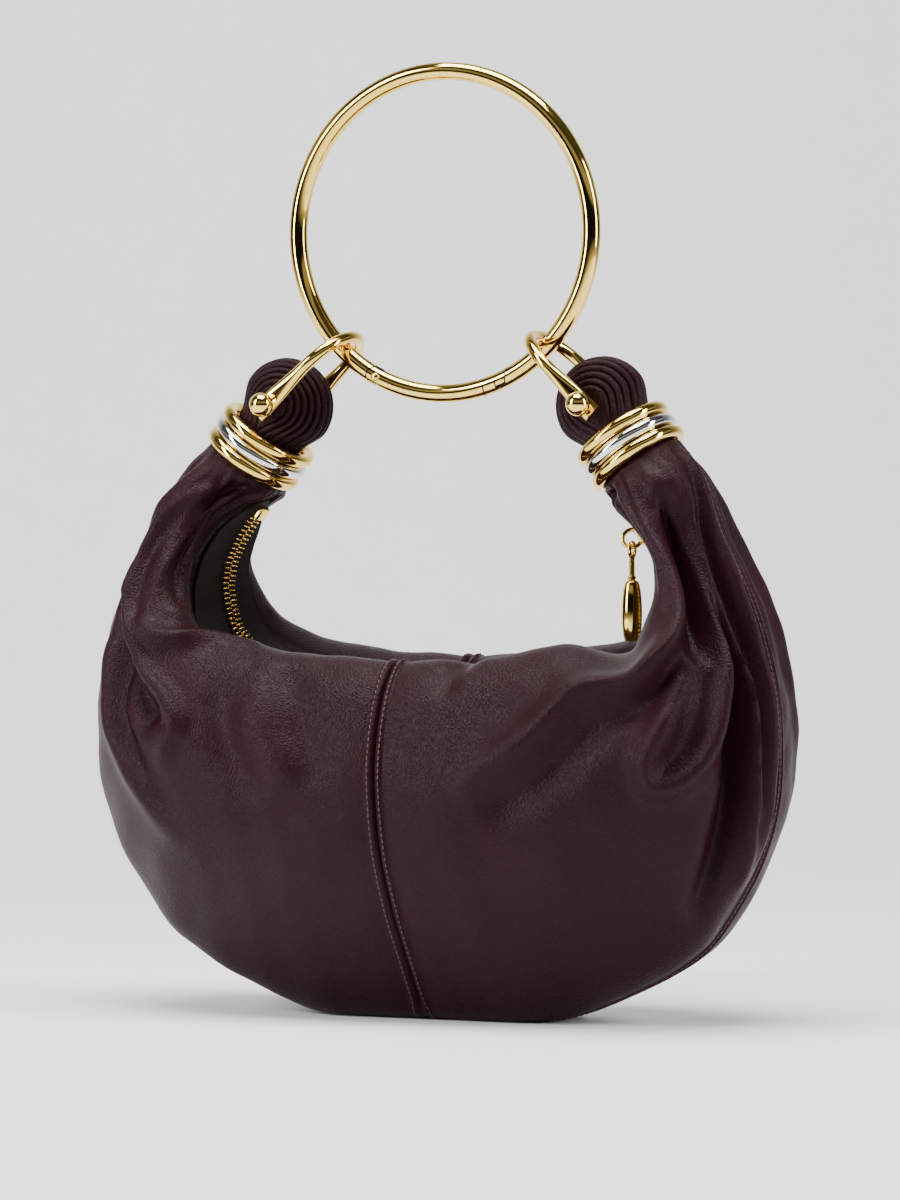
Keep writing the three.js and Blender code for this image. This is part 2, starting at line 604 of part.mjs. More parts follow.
// A station of the zip's line: its place, the way out of the bag and the half width left for the tape.
function zipStation(k) {
  const { point, half } = zipRim(k);
  const along = zipRim(Math.min(k + 1, ZIP_STEPS)).point.sub(zipRim(Math.max(k - 1, 0)).point).normalize();
  return { point, up: new THREE.Vector3(-along.z, 0, along.x), half };
}

// The zip's line at any place, straight from station to station. place counts the stations.
function zipAt(place) {
  const k = Math.min(Math.max(Math.floor(place), 0), ZIP_STEPS - 1);
  const [a, b] = [zipStation(k), zipStation(k + 1)];
  const f = place - k;
  return {
    point: a.point.lerp(b.point, f),
    up: a.up.lerp(b.up, f).normalize(),
    half: THREE.MathUtils.lerp(a.half, b.half, f),
  };
}

// The place a length further along the zip's line, to the right if the length is positive.
function zipTravel(place, length) {
  const start = zipAt(place).point;
  let next = place;
  while (zipAt(next).point.distanceTo(start) < Math.abs(length)) {
    next += Math.sign(length) * 0.002;
  }
  return next;
}

// A flat strip along the zip's line between two places, and between heights above the tape's middle.
function zipStrip(from, to, halfWidth, low, high) {
  const places = [from];
  for (let k = Math.ceil(from + 0.05); k < to - 0.05; k += 1) {
    places.push(k);
  }
  places.push(to);
  const outlines = places.map((place) => {
    const { point, up, half } = zipAt(place);
    const width = Math.min(half, halfWidth);
    const corner = (y, height) => point.clone().addScaledVector(up, height).add(new THREE.Vector3(0, y, 0));
    return [corner(-width, low), corner(width, low), corner(width, high), corner(-width, high)];
  });
  return loftGeometry(outlines);
}

// Axes at a place on the zip's line: x along it to the right, z out of the bag.
function zipFrame(place) {
  const { point, up } = zipAt(place);
  const along = new THREE.Vector3(up.z, 0, -up.x);
  return new THREE.Matrix4().makeBasis(along, up.clone().cross(along), up).setPosition(point);
}

// A block with cut corners that sits on the tape at a place along the zip.
function zipBlock(place, length, width, height) {
  const [l, w] = [length / 2, width / 2];
  const c = w * 0.35;
  const front = [[-l, -w + c], [-l + c, -w], [l - c, -w], [l, -w + c]];
  const back = front.toReversed().map(([x, y]) => [x, -y]);
  const outline = new THREE.Shape([...front, ...back].map(([x, y]) => new THREE.Vector2(x, y)));
  const block = new THREE.ExtrudeGeometry(outline, { depth: height, bevelEnabled: false, steps: 1 });
  return block.translate(0, 0, TAPE_THICK / 2 + SEAM_GAP).applyMatrix4(zipFrame(place));
}

// The slider's body with the round bail that carries the pull.
function zipSlider() {
  const body = toManifold(zipBlock(SLIDER_PLACE, SLIDER_LENGTH, SLIDER_WIDTH, SLIDER_HEIGHT));
  const bail = new THREE.TorusGeometry(BAIL_RADIUS, BAIL_WIRE / 2, 6, 12);
  bail.rotateX(Math.PI / 2).translate(0, 0, BAIL_LIFT);
  return fromManifold(body.add(toManifold(bail.applyMatrix4(zipFrame(SLIDER_PLACE)))));
}

// The pull: an eye through the bail, a thin stem and a long round weight, hanging straight down.
function zipPull() {
  const top = new THREE.Vector3(0, 0, BAIL_LIFT).applyMatrix4(zipFrame(SLIDER_PLACE));
  const eyeRadius = BAIL_RADIUS - BAIL_WIRE / 2;
  const eye = new THREE.TorusGeometry(eyeRadius, BAIL_WIRE / 2, 6, 12);
  const drop = BAIL_RADIUS - BAIL_WIRE - SEAM_GAP + eyeRadius;
  eye.rotateY(Math.PI / 2).translate(0, 0, -drop);
  const stemTop = -drop - eyeRadius;
  const stemEnd = stemTop - STEM_LENGTH;
  const length = top.z + stemEnd - CREST_HEIGHT - PULL_ABOVE_CREST;
  const [thin, thick] = [STEM_DIAMETER / 2, PULL_DIAMETER / 2];
  const profile = [[0, stemEnd - length]];
  for (let k = 1; k <= 9; k += 1) {
    const share = k / 9;
    const swell = Math.sin(Math.PI * share ** 0.9) ** 0.6;
    profile.push([THREE.MathUtils.lerp(thin, thick, swell), stemEnd - length * (1 - share)]);
  }
  profile.push([thin, stemTop], [0, stemTop]);
  const weight = turnedGeometry(profile, 10).rotateX(Math.PI / 2);
  const solid = toManifold(eye).add(toManifold(weight));
  return fromManifold(solid).translate(top.x, top.y, top.z);
}

const bag = new THREE.Group();

function addPiece(name, geometry, look) {
  const piece = new THREE.Mesh(geometry, new THREE.MeshStandardMaterial(look));
  piece.name = name;
  bag.add(piece);
}

const SIDES = [['left', -1], ['right', 1]];
for (const [name, side] of SIDES) {
  for (const [faceName, face] of [['front', -1], ['back', 1]]) {
    const { outer, inner } = quarterGrid(side, face);
    addPiece(`${faceName}_panel_${name}`, wallGeometry(outer, inner, COLUMNS, ROWS), leather);
  }
  addPiece(`gathered_loop_${name}`, gatheredLoop(side), leather);
  addPiece(`neck_ring_${name}_upper`, neckBand(side, BAND_PITCH), gold);
  addPiece(`neck_ring_${name}_middle`, neckBand(side, 0), silver);
  addPiece(`neck_ring_${name}_lower`, neckBand(side, -BAND_PITCH), gold);
  addPiece(`shackle_${name}`, shackle(side), gold);
  addPiece(`shackle_pin_${name}`, shacklePin(side), gold);
}

const { ring, gate } = ringAndGate();
addPiece('handle_ring', ring, gold);
addPiece('ring_gate', gate, gold);
addPiece('gate_pin', gatePin(), gold);

const tapeTop = TAPE_THICK / 2;
addPiece('zip_tape', zipStrip(0, ZIP_STEPS, MOUTH_HALF, -tapeTop, tapeTop), darkTape);
const chainBase = tapeTop + SEAM_GAP;
const chainFrom = zipTravel(STOP_PLACE, STOP_LENGTH / 2 + 2 * SEAM_GAP);
const chainTo = zipTravel(SLIDER_PLACE, -SLIDER_LENGTH / 2 - 2 * SEAM_GAP);
const chain = zipStrip(chainFrom, chainTo, CHAIN_WIDTH / 2, chainBase, chainBase + CHAIN_THICK);
addPiece('zip_chain', chain, gold);
addPiece('zip_end_stop', zipBlock(STOP_PLACE, STOP_LENGTH, CHAIN_WIDTH, CHAIN_THICK), gold);
addPiece('zip_slider', zipSlider(), gold);
addPiece('zip_pull', zipPull(), gold);

export default bag;
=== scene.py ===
# %% [markdown]
# # A half-moon leather handbag with a ring for a handle
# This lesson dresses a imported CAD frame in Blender. The frame holds every solid at its real size, in metres,
# standing on its flat bottom with +Z up, +X to the right and +Y to the back. We read that frame first, and
# keep its box, because nothing that we add may make the bag larger.

# %% Load the frame
import math

import bmesh
import bpy
import numpy as np
from mathutils import Matrix, Vector


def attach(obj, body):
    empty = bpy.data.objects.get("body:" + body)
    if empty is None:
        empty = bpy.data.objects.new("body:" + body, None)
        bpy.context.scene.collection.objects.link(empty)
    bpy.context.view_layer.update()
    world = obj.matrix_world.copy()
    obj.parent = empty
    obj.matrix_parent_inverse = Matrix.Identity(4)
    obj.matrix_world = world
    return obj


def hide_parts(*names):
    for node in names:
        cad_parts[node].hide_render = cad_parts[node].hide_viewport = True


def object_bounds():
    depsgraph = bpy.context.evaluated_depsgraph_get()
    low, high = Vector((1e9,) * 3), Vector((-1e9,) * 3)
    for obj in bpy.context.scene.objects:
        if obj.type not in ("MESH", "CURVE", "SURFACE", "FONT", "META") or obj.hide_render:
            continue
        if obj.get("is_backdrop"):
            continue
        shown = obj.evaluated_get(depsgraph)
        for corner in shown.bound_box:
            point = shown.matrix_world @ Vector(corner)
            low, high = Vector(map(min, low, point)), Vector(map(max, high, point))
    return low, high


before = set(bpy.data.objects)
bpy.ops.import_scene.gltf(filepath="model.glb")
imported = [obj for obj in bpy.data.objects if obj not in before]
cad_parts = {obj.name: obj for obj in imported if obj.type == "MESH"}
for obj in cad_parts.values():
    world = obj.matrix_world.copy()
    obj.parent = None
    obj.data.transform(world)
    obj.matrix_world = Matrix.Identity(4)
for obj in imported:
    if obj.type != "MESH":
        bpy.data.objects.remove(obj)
cad_box = [list(corner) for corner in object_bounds()]
MM = 0.001
print("CAD box", cad_box)

# %% [markdown]
# ## Camera
# The bag is seen from its front right, turned by about 24.5 degrees, from a long way off, so that the ring
# keeps nearly the same width at its top and bottom. A long lens from 2.2 m gives that flat, calm view. The
# picture's height is 424 mm at the bag, and its middle is 147 mm above the floor.

# %% Camera
VIEW_AZIMUTH = 24.5  # degrees to the right of straight in front
VIEW_ELEVATION = 1.5
VIEW_DISTANCE = 2.2
PICTURE_HEIGHT = 424 * MM
PICTURE_MIDDLE = Vector((2.3 * MM, 0, 147 * MM))  # across the picture from the bag's middle, and up


def add_camera():
    azimuth, elevation = math.radians(VIEW_AZIMUTH), math.radians(VIEW_ELEVATION)
    flat = math.cos(elevation)
    back = Vector((math.sin(azimuth) * flat, -math.cos(azimuth) * flat, math.sin(elevation)))
    right = Vector((math.cos(azimuth), math.sin(azimuth), 0))
    target = right * PICTURE_MIDDLE.x + Vector((0, 0, PICTURE_MIDDLE.z))
    data = bpy.data.cameras.new("camera")
    data.sensor_fit = "AUTO"
    data.sensor_width = 36
    data.lens = data.sensor_width * VIEW_DISTANCE / PICTURE_HEIGHT
    data.clip_start, data.clip_end = 0.1, 20
    camera = bpy.data.objects.new("camera", data)
    camera.location = target + back * VIEW_DISTANCE
    camera.rotation_mode = "QUATERNION"
    camera.rotation_quaternion = (-back).to_track_quat("-Z", "Y")
    bpy.context.collection.objects.link(camera)
    bpy.context.scene.camera = camera
    print("lens", round(data.lens, 1), "mm")


add_camera()

# %% [markdown]
# ## Shared helpers
# Every piece below ends as a plain mesh at the origin. These helpers turn points and faces into an object,
# merge doubled points, turn all faces outwards and shade the result smooth.

# %% Mesh helpers
def new_piece(name, points, faces, material=None, merge=0.02 * MM, smooth_angle=60):
    mesh = bpy.data.meshes.new(name)
    mesh.from_pydata([tuple(p) for p in points], [], [tuple(f) for f in faces])
    work = bmesh.new()
    work.from_mesh(mesh)
    bmesh.ops.remove_doubles(work, verts=work.verts, dist=merge)
    bmesh.ops.dissolve_degenerate(work, edges=work.edges, dist=merge / 10)
    bmesh.ops.recalc_face_normals(work, faces=work.faces)
    work.to_mesh(mesh)
    work.free()
    piece = bpy.data.objects.new(name, mesh)
    bpy.context.collection.objects.link(piece)
    if material:
        mesh.materials.append(material)
    shade(piece, smooth_angle)
    return piece


def shade(piece, smooth_angle):
    mesh = piece.data
    mesh.polygons.foreach_set("use_smooth", [True] * len(mesh.polygons))
    mesh.set_sharp_from_angle(angle=math.radians(smooth_angle))


def grid_faces(rows, columns, close_rows=False, close_columns=False, start=0):
    faces = []
    for i in range(rows if close_rows else rows - 1):
        for j in range(columns if close_columns else columns - 1):
            a, b = i * columns + j, i * columns + (j + 1) % columns
            c = ((i + 1) % rows) * columns + (j + 1) % columns
            d = ((i + 1) % rows) * columns + j
            faces.append((start + a, start + b, start + c, start + d))
    return faces


# %% [markdown]
# A bag is made of several bodies: the bag itself, the handle and its gate. Each finished piece is told which
# one it rides on, and the solids of the frame that it stands for are hidden. One helper does both, so that
# no piece is forgotten.

# %% Dressing a body
def dress(piece, body, nodes=()):
    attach(piece, body)
    if nodes:
        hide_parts(*nodes)
    print(piece.name, len(piece.data.polygons), "faces, rides on", body)
    return piece


# %% [markdown]
# ## Materials
# The leather is a drum-dyed nappa: soft, satin, with a fine pebble of about a millimetre. The metals are
# polished and plated, so they show almost nothing of their own, only what stands round them. Each material
# is built from nodes in object coordinates, and every pattern's scale comes from a real size. Pictures of
# leather and metal could be used instead, but nodes stay sharp from near and need no file.

# %% Colour and node helpers
def srgb(text):
    values = [int(text[k:k + 2], 16) / 255 for k in (1, 3, 5)]
    linear = [v / 12.92 if v <= 0.04045 else ((v + 0.055) / 1.055) ** 2.4 for v in values]
    return (*linear, 1.0)


def add_node(tree, kind, settings=None, **inputs):
    """Settings are given by data path. A node given as an input stands for its first output."""
    made = tree.nodes.new(kind)
    for key, value in (settings or {}).items():
        path, _, name = key.rpartition(".")
        setattr(made.path_resolve(path) if path else made, name, value)
    for key, value in inputs.items():
        socket = made.inputs[int(key[1:]) if key[0] == "_" else key.replace("__", " ")]
        value = value.outputs[0] if isinstance(value, bpy.types.Node) else value
        if isinstance(value, bpy.types.NodeSocket):
            tree.links.new(value, socket)
        else:
            socket.default_value = value
    return made


def two_colours(low, high):
    return {"color_ramp.elements[0].color": srgb(low), "color_ramp.elements[1].color": srgb(high)}


def new_material(name):
    material = bpy.data.materials.new(name)
    material.use_nodes = True
    tree = material.node_tree
    tree.nodes.clear()
    return material, tree, add_node(tree, "ShaderNodeTexCoord").outputs["Object"]


def set_surface(tree, **inputs):
    shader = add_node(tree, "ShaderNodeBsdfPrincipled", **inputs)
    add_node(tree, "ShaderNodeOutputMaterial", Surface=shader)


# %% [markdown]
# Nappa is real grain leather with a thin satin finish. Its pebbles are about a millimetre wide and very
# low, so they only break up the highlights. Broader clouds of colour come from the dye, and a finer grain
# of pores sits between the pebbles. Cells with wandering borders make the pebbles, because a plain noise
# has no creases between them.

# %% Leather material
PEBBLE = 1.15 * MM
PEBBLE_HEIGHT = 0.12 * MM
PEBBLE_WANDER = 0.9 * PEBBLE  # how far the creases stray from straight lines
PEBBLE_CROWN = 0.32  # share of a pebble's width over which it rises
PORE = 0.4 * MM
PORE_DEPTH = 0.05 * MM
DYE_CLOUD = 28 * MM


def make_leather():
    material, tree, place = new_material("nappa_leather")
    clouds = add_node(tree, "ShaderNodeTexNoise", Vector=place, Scale=1 / DYE_CLOUD, Detail=4.0)
    pores = add_node(tree, "ShaderNodeTexNoise", Vector=place, Scale=1 / PORE, Detail=2.0)
    bend = add_node(tree, "ShaderNodeTexNoise", Vector=place, Scale=0.5 / PEBBLE, Detail=2.0)
    shifted = add_node(tree, "ShaderNodeVectorMath", {"operation": "MULTIPLY_ADD"},
                       _0=bend.outputs["Color"], _1=(PEBBLE_WANDER,) * 3, _2=place)
    pebble = add_node(tree, "ShaderNodeTexVoronoi", {"feature": "DISTANCE_TO_EDGE"},
                      Vector=shifted, Scale=1 / PEBBLE)
    crown = add_node(tree, "ShaderNodeMapRange", Value=pebble, From__Max=PEBBLE_CROWN)
    coarse = add_node(tree, "ShaderNodeBump", Strength=0.9, Distance=PEBBLE_HEIGHT, Height=crown)
    fine = add_node(tree, "ShaderNodeBump", Strength=0.25, Distance=PORE_DEPTH, Height=pores, Normal=coarse)
    colour = add_node(tree, "ShaderNodeValToRGB", two_colours("#170509", "#260a10"), Fac=clouds)
    satin = add_node(tree, "ShaderNodeMapRange", Value=clouds, To__Min=0.37, To__Max=0.48)
    set_surface(tree, Base__Color=colour, Roughness=satin, Normal=fine, IOR=1.5, Specular__IOR__Level=0.1)
    return material


leather = make_leather()

# %% [markdown]
# Polished plating over zinc or brass: a pale yellow gold for most rings, and palladium, a warm silver, for
# the middle ring of each stack. Handling leaves very fine hairlines, which soften the mirror a little. Where
# a gap is cut through a plated rod, its faces get a dull, dark metal: painted shade that draws the line of
# the gap. All three are one material with other colours and another roughness.

# %% Metal materials
WEAR_PATCH = 14 * MM
HAIRLINE = 1.5 * MM
HAIRLINE_DEPTH = 0.01 * MM


def make_plating(name, low, high, roughness):
    material, tree, place = new_material(name)
    rubbed = add_node(tree, "ShaderNodeTexNoise", Vector=place, Scale=1 / WEAR_PATCH, Detail=3.0)
    hairs = add_node(tree, "ShaderNodeTexNoise", Vector=place, Scale=1 / HAIRLINE, Detail=2.0)
    bump = add_node(tree, "ShaderNodeBump", Strength=0.05, Distance=HAIRLINE_DEPTH, Height=hairs)
    colour = add_node(tree, "ShaderNodeValToRGB", two_colours(low, high), Fac=rubbed)
    wear = add_node(tree, "ShaderNodeMapRange", Value=rubbed, To__Min=roughness * 0.7, To__Max=roughness * 1.4)
    set_surface(tree, Base__Color=colour, Roughness=wear, Normal=bump, Metallic=1.0)
    return material


gold = make_plating("polished_pale_gold_plating", "#edc250", "#f6d776", 0.07)
silver = make_plating("palladium_plating", "#dcd8d4", "#e8e6e3", 0.07)
# painted shade: a dull dark metal for the faces cut in gaps and for the tongue, standing in for the shadow
# there
painted_gap_shade = make_plating("raw_brass_in_gaps", "#1d150a", "#2c2110", 0.5)

# %% [markdown]
# The zip's tape is woven polyester, with ribs about 0.6 mm apart. Two waves across each other give the weave.
# The sewing thread is a matt bonded nylon, dyed a shade lighter than the leather, and a noise as wide as its
# strands is enough at that size.

# %% Tape and thread materials
TAPE_RIB = 0.6 * MM
RIB_HEIGHT = 0.15 * MM
WAVE_PERIOD = 0.314  # metres from band to band in a wave texture of scale 1
STRAND = 0.3 * MM


def make_tape():
    material, tree, place = new_material("woven_polyester_tape")
    ribs = [
        add_node(tree, "ShaderNodeTexWave", settings, Vector=place, Scale=WAVE_PERIOD / TAPE_RIB,
                 Distortion=0.4).outputs["Fac"]
        for settings in ({"bands_direction": "Y"}, {"bands_direction": "DIAGONAL"})
    ]
    weave = add_node(tree, "ShaderNodeMath", {"operation": "MULTIPLY"}, _0=ribs[0], _1=ribs[1])
    bump = add_node(tree, "ShaderNodeBump", Strength=0.6, Distance=RIB_HEIGHT, Height=weave)
    colour = add_node(tree, "ShaderNodeValToRGB", two_colours("#120605", "#26130f"), Fac=weave)
    set_surface(tree, Base__Color=colour, Roughness=0.85, Normal=bump)
    return material


def make_thread():
    material, tree, place = new_material("bonded_nylon_thread")
    strands = add_node(tree, "ShaderNodeTexNoise", Vector=place, Scale=1 / STRAND, Detail=2.0)
    colour = add_node(tree, "ShaderNodeValToRGB", two_colours("#3c1a20", "#5c3038"), Fac=strands)
    set_surface(tree, Base__Color=colour, Roughness=0.6)
    return material


tape_cloth = make_tape()
thread = make_thread()
print("materials", [m.name for m in (leather, gold, silver, painted_gap_shade, tape_cloth, thread)])

# %% [markdown]
# ## Sizes of the body
# The leather body is a half-moon bag whose ends are gathered into two necks, each leaning inwards to a pin
# of the handle. Its sizes repeat those of the frame. All of them are named here, since the leather, the
# rings and the shackles share them.

# %% Body sizes
BODY_HALF_WIDTH = 131 * MM
BODY_HALF_DEPTH = 56.6 * MM
CREST_HEIGHT = 127.8 * MM  # the edge along the zip, at the middle
MOUTH_HALF = 13 * MM
WALL = 2 * MM
SEAM_GAP = 0.3 * MM  # between pieces that touch
PIN_X, PIN_Z = 61 * MM, 216 * MM
NECK_LEAN = math.radians(36)
NECK_DROP = 18.2 * MM  # from the pin down to the middle of the stack of rings
NECK_RADIUS = 12.7 * MM
NECK_RIB_HEIGHT = 0.7 * MM
NECK_X = PIN_X + math.sin(NECK_LEAN) * NECK_DROP
NECK_Z = PIN_Z - math.cos(NECK_LEAN) * NECK_DROP
BAND_WIRE = 4.7 * MM
BAND_PITCH = BAND_WIRE + SEAM_GAP
NECK_BODY_START = BAND_PITCH + BAND_WIRE / 2 + 2 * SEAM_GAP  # below the stack's middle


def neck_point(side, distance):
    x = NECK_X - math.sin(NECK_LEAN) * distance
    return np.array([side * x, 0, NECK_Z + math.cos(NECK_LEAN) * distance])


print("middle of the right stack", np.round(neck_point(1, 0) / MM, 1), "mm")

# %% [markdown]
# ## Curves through a few rows
# Shapes like this bag are drawn with few numbers: some rows of sizes, and a smooth curve through them. One
# function gives that curve for any place between the first row (t = 0) and the last (t = 1), for many places
# at once. A second one fades a thing in between two places.

# %% Curve helpers
def smooth(rows, t):
    rows = np.asarray(rows, float)
    last = len(rows) - 1
    place = np.clip(t, 0, 1) * last
    i = np.minimum(np.floor(place).astype(int), last - 1)
    f = (place - i)[..., None]
    a, b, c, d = rows[np.maximum(i - 1, 0)], rows[i], rows[i + 1], rows[np.minimum(i + 2, last)]
    first = np.where((i == 0)[..., None], c - b, (c - a) / 2)
    second = np.where((i == last - 1)[..., None], c - b, (d - b) / 2)
    h = f * f * (3 - 2 * f)
    return b * (1 - h) + c * h + first * f * (1 - f) ** 2 - second * f * f * (1 - f)


def smoothstep(t, low, high):
    f = np.clip((t - low) / (high - low), 0, 1)
    return f * f * (3 - 2 * f)


# %% [markdown]
# ## Sections of the body
# The skin is a loft. Sections run from the middle (s = 0) to a neck (s = 1). Each one stands between a point
# of the outer seam and a point of the crest, and has a depth. The outline of the bag is in the first four
# numbers, so they were measured most carefully.

# %% Sections
SECTIONS = [  # outer x, outer z, crest x, crest up, depth, round, mouth: shares of the body's sizes
    (0.0, 0.0, 0.0, 0.0, 1.0, 0, 1.0),
    (0.262, 0.0, 0.121, 0.003, 1.0, 0, 1.0),
    (0.496, 0.054, 0.236, 0.011, 0.99, 0, 1.0),
    (0.732, 0.135, 0.353, 0.036, 0.965, 0, 1.0),
    (0.884, 0.248, 0.475, 0.084, 0.92, 0.03, 1.0),
    (0.972, 0.376, 0.568, 0.151, 0.85, 0.08, 0.95),
    (0.995, 0.505, 0.61, 0.286, 0.76, 0.15, 0.85),
    (0.98, 0.629, 0.622, 0.434, 0.645, 0.27, 0.7),
    (0.922, 0.762, 0.59, 0.582, 0.51, 0.48, 0.55),
    (0.823, 0.896, 0.538, 0.717, 0.37, 0.8, 0.34),
]


def section_rows():
    end = neck_point(1, -NECK_BODY_START)
    radius = NECK_RADIUS + NECK_RIB_HEIGHT + SEAM_GAP + WALL
    rim_x, rim_z = math.cos(NECK_LEAN) * radius, math.sin(NECK_LEAN) * radius
    rows = [
        (ox * BODY_HALF_WIDTH, oz * NECK_Z, cx * BODY_HALF_WIDTH,
         CREST_HEIGHT + up * (NECK_Z - CREST_HEIGHT), depth * BODY_HALF_DEPTH, turn, mouth * MOUTH_HALF)
        for ox, oz, cx, up, depth, turn, mouth in SECTIONS
    ]
    return rows + [(end[0] + rim_x, end[2] + rim_z, end[0] - rim_x, end[2] - rim_z, radius, 1, 0)]


BODY_ROWS = section_rows()
print(len(BODY_ROWS), "sections from the middle to the neck")

# %% [markdown]
# ## Bare skin
# On each section v runs from the bottom seam (0) over the belly and the crest to the zip (1). Its profile
# goes over from the belly's egg shape to a circle at the neck. The underside is pressed flat on the floor,
# and leaves it in a soft bend, because leather that carries a load has no edge there.

# %% Bare skin
PROFILE = [  # share of the way from seam to crest, share of the depth, degrees on the neck's circle
    (0.0, 0.0, 0), (0.003, 0.2, 12), (0.036, 0.35, 25), (0.12, 0.51, 38), (0.225, 0.675, 52),
    (0.345, 0.825, 66), (0.46, 0.935, 80), (0.58, 0.99, 94), (0.7, 1.0, 107), (0.81, 0.94, 120),
    (0.91, 0.835, 133), (0.98, 0.69, 145), (1.0, 0.54, 156), (0.97, 0.38, 167), (0.9, 0.23, 180),
]
SETTLE = 3.5 * MM  # how far the standing bag sinks
SETTLE_REACH = 7  # height that this flattens, in settles
FLOOR_BEND = 3.2 * MM  # how softly the leather lifts off the floor


def bare_skin(s, v):
    s, v = np.broadcast_arrays(np.asarray(s, float), np.asarray(v, float))
    outer_x, outer_z, crest_x, crest_z, depth, turned, mouth = np.moveaxis(smooth(BODY_ROWS, s), -1, 0)
    along, out, turn = np.moveaxis(smooth(PROFILE, v), -1, 0)
    turn = np.radians(turn)
    along = along + ((1 - np.cos(turn)) / 2 - along) * turned
    out = out + (np.sin(turn) - out) * turned
    rim_out = (1 - turned) * PROFILE[-1][1] * depth
    y = out * depth + (np.maximum(mouth, 0) - rim_out) * smoothstep(v, 0.8, 1)
    outer_z = np.maximum(outer_z, 0)
    x = outer_x + (crest_x - outer_x) * along
    z = outer_z + (crest_z - outer_z) * along
    z = z - SETTLE * (1 - smoothstep(z, 0, SETTLE_REACH * SETTLE))
    z = (z + np.sqrt(z ** 2 + FLOOR_BEND ** 2)) / 2
    z -= (math.sqrt(SETTLE ** 2 + FLOOR_BEND ** 2) - SETTLE) / 2
    return np.stack([x, np.maximum(y, 0), np.maximum(z, 0)], -1)


belly = bare_skin(0, np.linspace(0, 1, 50))
print("belly at the middle", round(belly[:, 1].max() / MM, 1), "mm deep on each side")

# %% [markdown]
# ## Folds of the leather
# The bag is soft, and its weight hangs from the two necks, so the leather folds in long lines that run down
# from each neck and fade out over the belly. Each fold is a smooth line over the skin, given by a few points
# (s, v). Leather near that line moves in or out along the skin's normal. Sculpting by moving the points in
# code keeps each fold where the real one is, which a free cloth simulation wouldn't.

